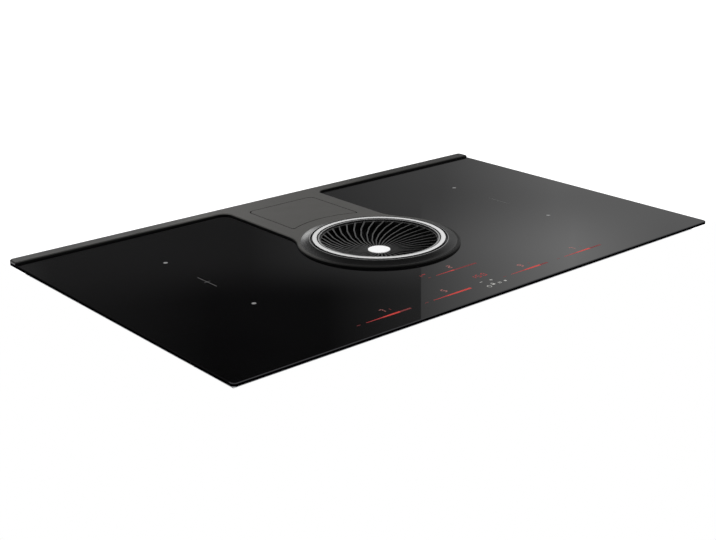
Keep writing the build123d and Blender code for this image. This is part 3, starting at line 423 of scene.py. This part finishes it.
board_green, board_tree, board_shader = material("board_green", (0.01, 0.09, 0.035), 0.3)
tracks = board_tree.nodes.new("ShaderNodeTexBrick")
tracks.inputs["Scale"].default_value = 60.0
tracks.inputs["Color1"].default_value = (0.008, 0.075, 0.03, 1)
tracks.inputs["Color2"].default_value = (0.015, 0.12, 0.05, 1)
tracks.inputs["Mortar"].default_value = (0.005, 0.05, 0.02, 1)
board_tree.links.new(place(board_tree), tracks.inputs["Vector"])
board_tree.links.new(tracks.outputs["Color"], board_shader.inputs["Base Color"])
relief(board_tree, board_shader, tracks.outputs["Fac"], 0.3, 0.0001)
finish(board_green, "inverter_board_left", "inverter_board_right", "touch_board")

deck_aluminium = metal("deck_aluminium", (0.70, 0.70, 0.71), 0.34, (1, 16, 1))
finish(deck_aluminium, "coil_deck_left", "coil_deck_right", "heat_sink_left",
       "heat_sink_right")

litz, litz_tree, litz_shader = material("litz_wire", (0.45, 0.2, 0.09), 0.35, 1.0)
windings = litz_tree.nodes.new("ShaderNodeTexWave")
windings.wave_type = "RINGS"
windings.inputs["Scale"].default_value = 90.0
windings.inputs["Distortion"].default_value = 1.5
litz_tree.links.new(place(litz_tree), windings.inputs["Vector"])
litz_tree.links.new(tint(litz_tree, windings.outputs["Fac"], (0.3, 0.12, 0.05), (0.55, 0.27, 0.13)),
                    litz_shader.inputs["Base Color"])
relief(litz_tree, litz_shader, windings.outputs["Fac"], 0.6, 0.0004)

mica, mica_tree, mica_shader = material("mica_sheet", (0.6, 0.55, 0.45), 0.5)
flakes = noise(mica_tree, 140.0, 5.0)
mica_tree.links.new(tint(mica_tree, flakes, (0.5, 0.45, 0.36), (0.68, 0.64, 0.55)),
                    mica_shader.inputs["Base Color"])
ceramic, ceramic_tree, ceramic_shader = material("sensor_ceramic", (0.75, 0.74, 0.7), 0.5)
relief(ceramic_tree, ceramic_shader, noise(ceramic_tree, 400.0), 0.3, 0.0001)
guide_plastic = moulded("guide_plastic", (0.6, 0.6, 0.6), 0.5)
finish(guide_plastic, "display_guide")
for hand in ("left", "right"):
    finish(litz, "coil_" + hand + "_rear", "coil_" + hand + "_front")
    finish(mica, "mica_sheet_" + hand)
    finish(ceramic, "sensors_" + hand)
    finish(wheel_plastic, "fan_frame_" + hand, "fan_rotor_" + hand)
    soften("fan_frame_" + hand)
    soften("fan_rotor_" + hand)


# ------------------------------------------------------------ glass
# Black glass-ceramic, 4 mm thick. The top is fire-polished, with the faint smears of a wiped
# hob. The bevel and the sides are ground dull. The bevel along the front edge is paler, a
# painted highlight.

def facing_up(tree, low, high):
    """0 on upright faces and 1 on level ones."""
    geometry = tree.nodes.new("ShaderNodeNewGeometry")
    parts = tree.nodes.new("ShaderNodeSeparateXYZ")
    tree.links.new(geometry.outputs["Normal"], parts.inputs["Vector"])
    ranged = tree.nodes.new("ShaderNodeMapRange")
    ranged.inputs["From Min"].default_value = low
    ranged.inputs["From Max"].default_value = high
    tree.links.new(parts.outputs["Z"], ranged.inputs["Value"])
    return ranged.outputs["Result"]


def mixed(tree, share, first, second):
    """Mixes two colours, each a socket or a plain colour, by a share."""
    mix = tree.nodes.new("ShaderNodeMix")
    mix.data_type = "RGBA"
    tree.links.new(share, mix.inputs["Factor"])
    for name, colour in (("A", first), ("B", second)):
        if isinstance(colour, tuple):
            mix.inputs[name].default_value = (*colour, 1)
        else:
            tree.links.new(colour, mix.inputs[name])
    return mix.outputs["Result"]


def bevel_only(tree):
    """1 on the slanted bevel, 0 on level and upright faces."""
    above = facing_up(tree, 0.3, 0.5)
    below = facing_up(tree, 0.98, 0.9)
    both = tree.nodes.new("ShaderNodeMath")
    both.operation = "MULTIPLY"
    tree.links.new(above, both.inputs[0])
    tree.links.new(below, both.inputs[1])
    return both.outputs["Value"]


def along(tree, axis, start, end, kind="SMOOTHSTEP", both_sides=False):
    """0 before one place along an axis and 1 past another, in metres."""
    coordinates = tree.nodes.new("ShaderNodeTexCoord")
    parts = tree.nodes.new("ShaderNodeSeparateXYZ")
    tree.links.new(coordinates.outputs["Object"], parts.inputs["Vector"])
    place_along = parts.outputs[axis]
    if both_sides:
        distance = tree.nodes.new("ShaderNodeMath")
        distance.operation = "ABSOLUTE"
        tree.links.new(place_along, distance.inputs[0])
        place_along = distance.outputs["Value"]
    ranged = tree.nodes.new("ShaderNodeMapRange")
    ranged.interpolation_type = kind
    ranged.inputs["From Min"].default_value = start
    ranged.inputs["From Max"].default_value = end
    tree.links.new(place_along, ranged.inputs["Value"])
    return ranged.outputs["Result"]


black_glass, glass_tree, glass_shader = material("black_glass", (0.0015, 0.0015, 0.0018), 0.5)
glass_shader.inputs["Specular IOR Level"].default_value = 0.0
glass_shader.inputs["Coat IOR"].default_value = 1.52
glass_shader.inputs["Coat Roughness"].default_value = 0.012
glass_tree.links.new(facing_up(glass_tree, 0.9, 0.99), glass_shader.inputs["Coat Weight"])
smears = tint(glass_tree, noise(glass_tree, 7.0, 5.0), (0.0004, 0.0004, 0.0006),
              (0.0011, 0.0011, 0.0013))
# The front bevel's paler grey is a painted highlight.
front_bevel_start = -0.25
front_bevel_end = -0.249
ground_bevel_and_highlight = mixed(glass_tree, along(glass_tree, "Y", front_bevel_start, front_bevel_end),
                     (0.045, 0.045, 0.048), (0.006, 0.006, 0.006))
glass_tree.links.new(mixed(glass_tree, bevel_only(glass_tree), smears, ground_bevel_and_highlight),
                     glass_shader.inputs["Base Color"])
finish(black_glass, "glass_plate")
soften("glass_plate")

foam, foam_tree, foam_shader = material("seal_rubber", (0.02, 0.02, 0.02), 0.85)
relief(foam_tree, foam_shader, noise(foam_tree, 700.0, 3.0), 0.6, 0.0002)
finish(foam, "rim_gasket", "hatch_seal")


# ------------------------------------------------------------ marks on the glass
# Fired-on enamel marks, 0.04 mm proud: a dot in the middle of each cooking zone and a short
# line with a cross stroke between the front and rear zones of each side.

glass_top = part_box("glass_plate")[1][2]
mark_rise = 0.00004
mark_clearance = 0.00001


def printed(name, width, depth, x, y, ink, sides=4):
    """A thin printed mark: a rectangle, or a disc with more sides."""
    bpy.ops.object.select_all(action="DESELECT")
    if sides == 4:
        bpy.ops.mesh.primitive_plane_add(size=1, location=(0, 0, 0))
    else:
        bpy.ops.mesh.primitive_circle_add(vertices=sides, radius=0.5, fill_type="NGON")
    mark = bpy.context.object
    mark.name = name
    bpy.ops.object.mode_set(mode="EDIT")
    bpy.ops.mesh.select_all(action="SELECT")
    bpy.ops.transform.resize(value=(width, depth, 1))
    bpy.ops.transform.translate(value=(x, y, glass_top + mark_clearance))
    bpy.ops.mesh.extrude_region_move(TRANSFORM_OT_translate={"value": (0, 0, mark_rise)})
    bpy.ops.mesh.select_all(action="SELECT")
    bpy.ops.mesh.normals_make_consistent(inside=False)
    bpy.ops.object.mode_set(mode="OBJECT")
    mark.data.materials.append(ink)
    return mark


enamel, enamel_tree, enamel_shader = material("grey_enamel", (0.22, 0.22, 0.22), 0.5)
enamel_tree.links.new(
    tint(enamel_tree, noise(enamel_tree, 2500.0, 1.0), (0.18, 0.18, 0.18), (0.26, 0.26, 0.26)),
    enamel_shader.inputs["Base Color"])
zone_x = 0.2645
zone_rows = (0.114, -0.084)
dot_size = 0.0058
dot_sides = 20
zone_marks = []
for side in (-1, 1):
    for row in zone_rows:
        zone_marks.append(
            printed("zone_dot", dot_size, dot_size, side * zone_x, row, enamel, dot_sides))
join("zone_dots", zone_marks)

dim_enamel, dim_tree, dim_shader = material("dim_enamel", (0.10, 0.10, 0.10), 0.5)
dim_tree.links.new(
    tint(dim_tree, noise(dim_tree, 2500.0, 1.0), (0.08, 0.08, 0.08), (0.12, 0.12, 0.12)),
    dim_shader.inputs["Base Color"])
line_y = 0.0165
line_length = 0.043
cross_length = 0.009
line_width = 0.0008
bridge_lines = []
for side in (-1, 1):
    bridge_lines.append(
        printed("zone_line", line_width, line_length, side * zone_x, line_y, dim_enamel))
    bridge_lines.append(
        printed("zone_cross", cross_length, line_width, side * zone_x, line_y, dim_enamel))
join("zone_lines", bridge_lines)


# ------------------------------------------------------------ touch controls
# Red and white light-emitting segments under the glass, seen through it: five sliders with a
# digit over each, the timer's three digits and the small white keys. The glass here lets no
# light through, so they are made as thin glowing marks on its top.

def lit(name, colour, strength):
    """The look of light from below the glass: an even glow with a faint grain."""
    made, tree, shader = material(name, [0.3 * part for part in colour], 0.4)
    shader.inputs["Emission Strength"].default_value = strength
    tree.links.new(
        tint(tree, noise(tree, 3000.0, 1.0), [0.8 * part for part in colour], colour),
        shader.inputs["Emission Color"])
    return made


red_light = lit("red_light", (0.42, 0.024, 0.026), 0.75)
dim_red_light = lit("dim_red_light", (0.20, 0.022, 0.024), 0.7)
hot_red_light = lit("hot_red_light", (0.56, 0.034, 0.026), 0.85)
pale_light = lit("pale_light", (0.42, 0.14, 0.13), 0.75)
white_light = lit("white_light", (0.42, 0.42, 0.40), 0.8)

# Each slider: left end, right end, row, and the share of it that is lit. Its bars grow deeper
# to the right, and a small mark stands before it.
sliders = (
    ("slider_front_left", -0.205, -0.1356, -0.2225, 0.75),
    ("slider_rear_left", -0.098, -0.0344, -0.2225, 1.0),
    ("slider_rear_right", 0.0383, 0.107, -0.2225, 0.8),
    ("slider_front_right", 0.141, 0.217, -0.2225, 0.7),
    ("slider_fan", -0.0356, 0.0356, -0.161, 0.45),
)
bar_pitch = 0.0029
bar_width = 0.0026
bar_least_depth = 0.0009
bar_most_depth = 0.0034
bar_growth = 1.6
cool_share = 0.35
mark_width = 0.0055
mark_gap = 0.0115
for name, left, right, row, lit_share in sliders:
    bars = []
    count = round((right - left) / bar_pitch)
    for step in range(count):
        share = step / (count - 1)
        grown = min(1.0, bar_growth * share)
        depth = bar_least_depth + (bar_most_depth - bar_least_depth) * grown
        ink = red_light if share < cool_share else hot_red_light
        if share > lit_share:
            ink = dim_red_light
        bars.append(printed("bar", bar_width, depth, left + (step + 0.5) * bar_pitch, row, ink))
    bars.append(printed("mark", mark_width, bar_least_depth, left - mark_gap, row, dim_red_light))
    join(name, bars)

# Seven-segment digits. Each segment: its middle across and up in shares of the digit's width
# and height, and whether it lies flat.
segment_places = {
    "top": (0, 1, True), "middle": (0, 0, True), "bottom": (0, -1, True),
    "upper_left": (-1, 0.5, False), "upper_right": (1, 0.5, False),
    "lower_left": (-1, -0.5, False), "lower_right": (1, -0.5, False),
}
digit_segments = {
    0: ("top", "bottom", "upper_left", "upper_right", "lower_left", "lower_right"),
    1: ("upper_right", "lower_right"),
    2: ("top", "middle", "bottom", "upper_right", "lower_left"),
    5: ("top", "middle", "bottom", "upper_left", "lower_right"),
    7: ("top", "upper_right", "lower_right"),
    9: ("top", "middle", "bottom", "upper_left", "upper_right", "lower_right"),
}
digit_stroke = 0.0011
digit_proportion = 0.55


def digit(name, number, x, y, height, ink):
    """A seven-segment digit."""
    width = digit_proportion * height
    strokes = []
    for segment in digit_segments[number]:
        across, up, flat_lying = segment_places[segment]
        place_x = x + across * width / 2
        place_y = y + up * height / 2
        if flat_lying:
            size = (width - digit_stroke, digit_stroke)
        else:
            size = (digit_stroke, height / 2 - digit_stroke)
        strokes.append(printed("stroke", *size, place_x, place_y, ink))
    return join(name, strokes)


digit_height = 0.0085
heat_height = 0.005
timer_row = -0.1985
level_digits = (
    ("digit_front_left", 7, -0.167, -0.207), ("digit_rear_left", 5, -0.066, -0.207),
    ("digit_rear_right", 9, 0.072, -0.207), ("digit_front_right", 7, 0.175, -0.207),
    ("digit_fan", 2, 0.0, -0.148),
)
for name, number, x, y in level_digits:
    digit(name, number, x, y, digit_height, pale_light)
heat_digits = (("heat_front_left", 1, -0.158, -0.209), ("heat_rear_right", 1, 0.086, -0.208),
               ("heat_front_right", 1, 0.188, -0.209))
for name, number, x, y in heat_digits:
    digit(name, number, x, y, heat_height, dim_red_light)
timer_digits = (("timer_tens", 1, -0.006), ("timer_ones", 5, 0.003), ("timer_last", 0, 0.0125))
for name, number, x in timer_digits:
    digit(name, number, x, timer_row, digit_height, red_light)

# Two small strokes beside the fan's digit: width, depth, middle across and row.
join("slider_fan_marks", [
    printed("mark", 0.007, 0.0012, -0.0455, -0.1475, red_light),
    printed("mark", 0.0012, 0.006, -0.0520, -0.1500, dim_red_light),
])

# The on-off key is an open ring of small dots with a stroke in its gap.
ring_radius = 0.0028
ring_x, ring_y = -0.0130, -0.2340
ring_start, ring_sweep = 125, 290
ring_steps = 13
ring_dot = 0.0011
ring_dot_sides = 8
ring_stroke = 0.001
ring_parts = []
for step in range(ring_steps + 1):
    angle = math.radians(ring_start + step * ring_sweep / ring_steps)
    dot_x = ring_x + ring_radius * math.cos(angle)
    dot_y = ring_y + ring_radius * math.sin(angle)
    ring_parts.append(
        printed("dot", ring_dot, ring_dot, dot_x, dot_y, white_light, ring_dot_sides))
ring_parts.append(
    printed("stroke", ring_stroke, ring_radius, ring_x, ring_y + ring_radius, white_light))
join("key_on_off", ring_parts)

# The other white keys, each of small rectangles: width, depth, middle across and row.
key_rectangles = {
    "key_lock": ((0.0046, 0.0034, -0.0035, -0.2320), (0.0030, 0.0008, -0.0035, -0.2277),
                 (0.0008, 0.0024, -0.0050, -0.2290), (0.0008, 0.0024, -0.0020, -0.2290)),
    "key_pause": ((0.0012, 0.0046, 0.0052, -0.2330), (0.0012, 0.0046, 0.0078, -0.2330)),
    "key_minus": ((0.0044, 0.0011, -0.0105, -0.2165),),
    "key_plus": ((0.0044, 0.0011, 0.0050, -0.2190), (0.0011, 0.0017, 0.0050, -0.2176),
                 (0.0011, 0.0017, 0.0050, -0.2204)),
    "key_stop": ((0.0034, 0.0034, 0.0165, -0.2330),),
}
for name, rectangles in key_rectangles.items():
    join(name, [printed("stroke", *rectangle, white_light) for rectangle in rectangles])


# ------------------------------------------------------------ trim and hatch
# Moulding in a satin, metallic, grey-brown paint, and the loose hatch in the same paint. Only
# what faces up near the top gets the paint; upright faces and the gaps below the top are black,
# painted shade. The paint is darker toward the front of the surround and toward the ends of
# the bar: painted shade.

well_y = -0.009
# Black: the grille's own colour, and painted shade on the trim and the surround.
black_and_painted_shade = (0.003, 0.003, 0.003)


def from_well(tree):
    """Distance from the well's axis, in metres."""
    coordinates = tree.nodes.new("ShaderNodeTexCoord")
    mapping = tree.nodes.new("ShaderNodeMapping")
    mapping.inputs["Location"].default_value = (0, -well_y, 0)
    mapping.inputs["Scale"].default_value = (1, 1, 0)
    tree.links.new(coordinates.outputs["Object"], mapping.inputs["Vector"])
    length = tree.nodes.new("ShaderNodeVectorMath")
    length.operation = "LENGTH"
    tree.links.new(mapping.outputs["Vector"], length.inputs[0])
    return length.outputs["Value"]


def graded(tree, value, stops):
    """Grey levels by a value, between the first and the last of the stops (value, grey)."""
    first, last = stops[0][0], stops[-1][0]
    ranged = tree.nodes.new("ShaderNodeMapRange")
    ranged.inputs["From Min"].default_value = first
    ranged.inputs["From Max"].default_value = last
    tree.links.new(value, ranged.inputs["Value"])
    ramp = tree.nodes.new("ShaderNodeValToRGB")
    while len(ramp.color_ramp.elements) < len(stops):
        ramp.color_ramp.elements.new(0.5)
    for element, (place_on_ramp, grey) in zip(ramp.color_ramp.elements, stops):
        element.position = (place_on_ramp - first) / (last - first)
        element.color = (grey, grey, grey, 1)
    tree.links.new(ranged.outputs["Result"], ramp.inputs["Fac"])
    return ramp.outputs["Color"]


trim_paint, trim_tree, trim_shader = material("trim_paint", (0.085, 0.083, 0.078), 0.36, 0.35)
trim_shader.inputs["Specular IOR Level"].default_value = 0.3
flake = noise(trim_tree, 2200.0, 2.0)
trim_colour = tint(trim_tree, flake, (0.084, 0.082, 0.078), (0.118, 0.116, 0.110))

# The paint darkens toward the front and toward the bar's ends: painted shade.
shade_fade_start = -0.06
shade_fade_end = 0.05
bar_shade_start = 0.10
bar_shade_end = 0.24
bar_end_shade = along(trim_tree, "X", bar_shade_start, bar_shade_end, both_sides=True)
trim_with_end_shade = mixed(trim_tree, bar_end_shade, trim_colour, (0.045, 0.044, 0.042))
trim_with_painted_shade = mixed(trim_tree, along(trim_tree, "Y", shade_fade_start, shade_fade_end), (0.012, 0.012, 0.0115),
                   trim_with_end_shade)

trim_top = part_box("filter_hatch")[1][2]
# Below the top, in the gaps round the hatch, the paint gives way to black: painted shade.
gap_shade_full_depth = 0.0014
gap_shade_start_depth = 0.0009
near_top = along(trim_tree, "Z", trim_top - gap_shade_full_depth, trim_top - gap_shade_start_depth, "LINEAR")
paint_and_gap_shade = mixed(trim_tree, near_top, black_and_painted_shade, trim_with_painted_shade)
# Upright faces stay black: painted shade.
trim_tree.links.new(mixed(trim_tree, facing_up(trim_tree, 0.3, 0.75), black_and_painted_shade, paint_and_gap_shade),
                    trim_shader.inputs["Base Color"])
trim_tree.links.new(spread(trim_tree, noise(trim_tree, 25.0), 0.33, 0.4),
                    trim_shader.inputs["Roughness"])
finish(trim_paint, "trim_bar", "trim_neck", "filter_hatch")
for name in ("trim_bar", "trim_neck"):
    soften(name, 24)
soften("filter_hatch")

surround_paint, around_tree, around_shader = material(
    "surround_paint", (0.03, 0.03, 0.029), 0.22, 0.3)
around_shader.inputs["Specular IOR Level"].default_value = 0.3

# Grey levels by distance from the well's axis, painted light and shade: a painted highlight on
# the inner edge, then a dark step of painted shade that pales outward, less so at the front.
front_shade_rings = graded(around_tree, from_well(around_tree), (
    (0.0950, 0.20), (0.0958, 0.20), (0.0962, 0.004), (0.0985, 0.006), (0.1040, 0.008),
    (0.1080, 0.011),
))
rear_shade_rings = graded(around_tree, from_well(around_tree), (
    (0.0950, 0.20), (0.0958, 0.20), (0.0962, 0.012), (0.0985, 0.02), (0.1040, 0.05),
    (0.1080, 0.075),
))
# Darker toward the front: painted shade.
around_painted_shade = mixed(around_tree, along(around_tree, "Y", shade_fade_start, shade_fade_end), front_shade_rings,
                     rear_shade_rings)
# Upright faces of the surround stay black: painted shade.
around_tree.links.new(
    mixed(around_tree, facing_up(around_tree, 0.2, 0.6), black_and_painted_shade, around_painted_shade),
    around_shader.inputs["Base Color"])
relief(around_tree, around_shader, noise(around_tree, 2200.0, 2.0), 0.1, 0.00003)
finish(surround_paint, "well_surround")
soften("well_surround", 24)


# ------------------------------------------------------------ grease basket, tray, odour filter
# Satin stainless basket, black plastic tray and cassette, and two blocks of carbon foam. The
# basket and the tray drop into the well, and the cassette slides down its own shaft.

basket_steel = metal("basket_steel", (0.62, 0.62, 0.61), 0.3, (1, 1, 9))
finish(basket_steel, "grease_basket")
finish(wheel_plastic, "liquid_tray", "odour_cassette")
soften("grease_basket")
soften("liquid_tray")
carbon, carbon_tree, carbon_shader = material("carbon_foam", (0.012, 0.012, 0.012), 0.9)
relief(carbon_tree, carbon_shader, noise(carbon_tree, 350.0, 6.0), 0.9, 0.0008)
finish(carbon, "carbon_block_front", "carbon_block_rear")


# ------------------------------------------------------------ grille
# Die-cast grille in satin black, with a grey painted highlight on the vanes' top edges. A turned
# ring with one dark groove, a line of painted shade, holds it, and a plain satin cap is pressed
# on its hub.

grille_black, grille_tree, grille_shader = material("grille_black", (0.012, 0.012, 0.013), 0.35)
# The vanes' level tops get a grey painted highlight; the rest stays black.
painted_vane_highlight = tint(grille_tree, noise(grille_tree, 300.0, 3.0), (0.05, 0.05, 0.05),
                 (0.085, 0.085, 0.085))
grille_tree.links.new(
    mixed(grille_tree, facing_up(grille_tree, 0.55, 0.8), black_and_painted_shade, painted_vane_highlight),
    grille_shader.inputs["Base Color"])
relief(grille_tree, grille_shader, noise(grille_tree, 900.0, 2.0), 0.2, 0.00006)
finish(grille_black, "grille")
soften("grille", 35)

ring_metal, ring_tree, ring_shader = material("ring_metal", (0.86, 0.86, 0.87), 0.2, 0.4)
# Grey levels by radius; the narrow near-black band stands for the groove, painted shade.
turned_face_and_groove_shade = graded(ring_tree, from_well(ring_tree), (
    (0.0820, 0.35), (0.0838, 0.42), (0.0841, 0.01), (0.0856, 0.01), (0.0858, 0.85),
    (0.0885, 0.98), (0.0912, 0.95), (0.0918, 0.6),
))
# Upright faces of the ring are near black: painted shade.
ring_tree.links.new(
    mixed(ring_tree, facing_up(ring_tree, 0.2, 0.6), (0.02, 0.02, 0.02), turned_face_and_groove_shade),
    ring_shader.inputs["Base Color"])
relief(ring_tree, ring_shader, noise(ring_tree, 300.0, 4.0, (1, 1, 20)), 0.15, 0.00003)
finish(ring_metal, "grille_ring")
soften("grille_ring")

cap_metal, cap_tree, cap_shader = material("cap_metal", (0.95, 0.95, 0.95), 0.35, 0.1)
relief(cap_tree, cap_shader, noise(cap_tree, 300.0, 4.0, (1, 18, 1)), 0.2, 0.00003)
finish(cap_metal, "hub_cap")
soften("hub_cap")


# ------------------------------------------------------------ camera
# The photograph's view, solved from the corners of the glass and the lines of the trim. The
# lens is shifted sideways, as in a cropped picture.

bpy.ops.object.camera_add(location=(-1.06779, -1.24503, 0.55073))
camera = bpy.context.object
camera.rotation_euler = (math.radians(70.221), 0, math.radians(-42.361))
camera.data.sensor_width = 36.0
camera.data.lens = 62.74
camera.data.shift_x = -0.0738
bpy.context.scene.camera = camera


# ------------------------------------------------------------ floor and hiding card
# Pale floor that the hob's case stands on. In the photograph the hob is cut out and nothing
# shows below its edges, so a small white card near the camera covers what is under them.

def stage_material(name):
    """An empty node material and its output."""
    made = bpy.data.materials.new(name)
    made.use_nodes = True
    made.node_tree.nodes.clear()
    return made, made.node_tree, made.node_tree.nodes.new("ShaderNodeOutputMaterial")


def seen_rays(tree):
    """1 for rays that show a thing: straight to the camera, in a mirror or through glass."""
    path = tree.nodes.new("ShaderNodeLightPath")
    first = tree.nodes.new("ShaderNodeMath")
    first.operation = "MAXIMUM"
    tree.links.new(path.outputs["Is Camera Ray"], first.inputs[0])
    tree.links.new(path.outputs["Is Glossy Ray"], first.inputs[1])
    second = tree.nodes.new("ShaderNodeMath")
    second.operation = "MAXIMUM"
    tree.links.new(first.outputs["Value"], second.inputs[0])
    tree.links.new(path.outputs["Is Transmission Ray"], second.inputs[1])
    return second.outputs["Value"]


floor_size = 60
floor_gap = 0.0001
floor_grey = 0.5
floor_glow_level = 0.75
floor_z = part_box("lower_case")[0][2]
bpy.ops.mesh.primitive_plane_add(size=floor_size, location=(0, 0, floor_z - floor_gap))
floor = bpy.context.object
floor.name = "floor"
floor_paint, floor_tree, floor_output = stage_material("floor_paint")
floor_diffuse = floor_tree.nodes.new("ShaderNodeBsdfDiffuse")
floor_diffuse.inputs["Color"].default_value = (floor_grey, floor_grey, floor_grey, 1)
floor_glow = floor_tree.nodes.new("ShaderNodeEmission")
seen = seen_rays(floor_tree)
glow_strength = floor_tree.nodes.new("ShaderNodeMath")
glow_strength.operation = "MULTIPLY"
glow_strength.inputs[1].default_value = floor_glow_level
floor_tree.links.new(seen, glow_strength.inputs[0])
floor_tree.links.new(glow_strength.outputs["Value"], floor_glow.inputs["Strength"])
floor_sum = floor_tree.nodes.new("ShaderNodeAddShader")
floor_tree.links.new(floor_diffuse.outputs["BSDF"], floor_sum.inputs[0])
floor_tree.links.new(floor_glow.outputs["Emission"], floor_sum.inputs[1])
floor_tree.links.new(floor_sum.outputs["Shader"], floor_output.inputs["Surface"])
floor.data.materials.append(floor_paint)

white_card, card_tree, card_output = stage_material("white_card")
card_glow = card_tree.nodes.new("ShaderNodeEmission")
card_tree.links.new(card_glow.outputs["Emission"], card_output.inputs["Surface"])
glass_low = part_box("glass_plate")[0]
eye = Vector(camera.location)
nearness = 0.12
card_gap = 0.0002
card_height = 0.0004
card_left, card_right = -0.95, 0.75
card_front, card_back = -1.0, 0.6
left, front = glass_low[0] - card_gap, glass_low[1] - card_gap
outline = [
    (left, card_back), (card_left, card_back), (card_left, card_front), (card_right, card_front),
    (card_right, front), (left, front),
]
card_mesh = bpy.data.meshes.new("hiding_card")
corners = [eye + nearness * (Vector((x, y, card_height)) - eye) for x, y in outline]
card_mesh.from_pydata(corners, [], [(0, 1, 2, 5), (5, 2, 3, 4)])
card = bpy.data.objects.new("hiding_card", card_mesh)
bpy.context.collection.objects.link(card)
card.data.materials.append(white_card)
card.visible_diffuse = False
card.visible_glossy = False
card.visible_transmission = False
card.visible_shadow = False


# ------------------------------------------------------------ reflector
# A dome of cards far round the hob, seen only in reflections: dark at the left of the
# photograph's view and pale at the right, with one hard edge, as the glass shows. A plain grey
# card overhead stands in for the lamp, which reflections leave out.

dome_radius = 20.0
bpy.ops.mesh.primitive_uv_sphere_add(segments=96, ring_count=48, radius=dome_radius)
reflector = bpy.context.object
reflector.name = "reflector"
studio, studio_tree, studio_output = stage_material("studio_cards")
direction = studio_tree.nodes.new("ShaderNodeTexCoord")
parts = studio_tree.nodes.new("ShaderNodeSeparateXYZ")
studio_tree.links.new(direction.outputs["Object"], parts.inputs["Vector"])
bearing = studio_tree.nodes.new("ShaderNodeMath")
bearing.operation = "ARCTAN2"
studio_tree.links.new(parts.outputs["X"], bearing.inputs[0])
studio_tree.links.new(parts.outputs["Y"], bearing.inputs[1])


def card_band(stops):
    """Grey levels by bearing in degrees from +Y, clockwise."""
    turned = [(math.radians(degrees), grey) for degrees, grey in stops]
    return graded(studio_tree, bearing.outputs["Value"], turned)


dark_card = card_band(((18, 0.2), (24, 0.05), (32, 0.017), (38, 0.02), (43.1, 0.10)))
pale_card = card_band(((43, 0.24), (51, 0.75), (56, 0.45)))
lower_band = card_band(((18, 0.2), (24, 0.06), (34, 0.05), (44, 0.20), (50, 0.45)))
low_band = card_band((
    (-180, 0.3), (0, 0.15), (14, 0.2), (21, 1.8), (30, 1.8), (35, 0.2), (60, 0.3), (180, 0.3),
))
top_band = card_band((
    (-180, 0.3), (-100, 0.35), (-60, 0.7), (-20, 0.55), (4, 0.06), (30, 0.06),
    (60, 0.06), (90, 0.16), (140, 0.3), (180, 0.3),
))
card_edge = math.radians(43.06)
past_edge = studio_tree.nodes.new("ShaderNodeMath")
past_edge.operation = "GREATER_THAN"
past_edge.inputs[1].default_value = card_edge
studio_tree.links.new(bearing.outputs["Value"], past_edge.inputs[0])
flat = studio_tree.nodes.new("ShaderNodeMapping")
flat.inputs["Scale"].default_value = (1, 1, 0)
studio_tree.links.new(direction.outputs["Object"], flat.inputs["Vector"])
reach = studio_tree.nodes.new("ShaderNodeVectorMath")
reach.operation = "LENGTH"
studio_tree.links.new(flat.outputs["Vector"], reach.inputs[0])
slope = studio_tree.nodes.new("ShaderNodeMath")
slope.operation = "DIVIDE"
studio_tree.links.new(parts.outputs["Z"], slope.inputs[0])
studio_tree.links.new(reach.outputs["Value"], slope.inputs[1])


def stacked(lower, upper, start, end):
    """Blends two bands of cards between two slopes above the horizon."""
    share = studio_tree.nodes.new("ShaderNodeMapRange")
    share.interpolation_type = "SMOOTHSTEP"
    share.inputs["From Min"].default_value = start
    share.inputs["From Max"].default_value = end
    studio_tree.links.new(slope.outputs["Value"], share.inputs["Value"])
    return mixed(studio_tree, share.outputs["Result"], lower, upper)


# Each band gives way to the next one up between two slopes, rise over distance.
dark_side = stacked(lower_band, dark_card, 0.345, 0.39)
pale_side = stacked(lower_band, pale_card, 0.285, 0.345)
middle_cards = mixed(studio_tree, past_edge.outputs["Value"], dark_side, pale_side)
side_cards = stacked(stacked(low_band, middle_cards, 0.22, 0.265), top_band, 0.55, 0.8)
overhead = (0.15, 0.15, 0.15)
cards = stacked(side_cards, overhead, 1.5, 3.0)
studio_glow = studio_tree.nodes.new("ShaderNodeEmission")
studio_tree.links.new(cards, studio_glow.inputs["Color"])
studio_tree.links.new(studio_glow.outputs["Emission"], studio_output.inputs["Surface"])
reflector.data.materials.append(studio)
reflector.visible_camera = False
reflector.visible_diffuse = False
reflector.visible_transmission = False
reflector.visible_shadow = False


# ------------------------------------------------------------ light
# Soft plain light: a sky all round, pure white where it is seen, and a large lamp over the
# hob that stays out of reflections.

world = bpy.data.worlds.new("studio")
bpy.context.scene.world = world
world.use_nodes = True
sky = world.node_tree.nodes["Background"]
sky_level = world.node_tree.nodes.new("ShaderNodeMapRange")
sky_level.inputs["To Min"].default_value = 0.86
sky_level.inputs["To Max"].default_value = 1.0
world.node_tree.links.new(seen_rays(world.node_tree), sky_level.inputs["Value"])
world.node_tree.links.new(sky_level.outputs["Result"], sky.inputs["Strength"])
sky.inputs["Color"].default_value = (1, 1, 1, 1)

bpy.ops.object.light_add(type="AREA", location=(0.4, 0.6, 2.2))
lamp = bpy.context.object
lamp.data.size = 2.0
lamp.data.energy = 30
lamp.rotation_euler = (math.radians(-14), math.radians(10), 0)
lamp.visible_glossy = False

bpy.context.scene.view_settings.view_transform = "Standard"
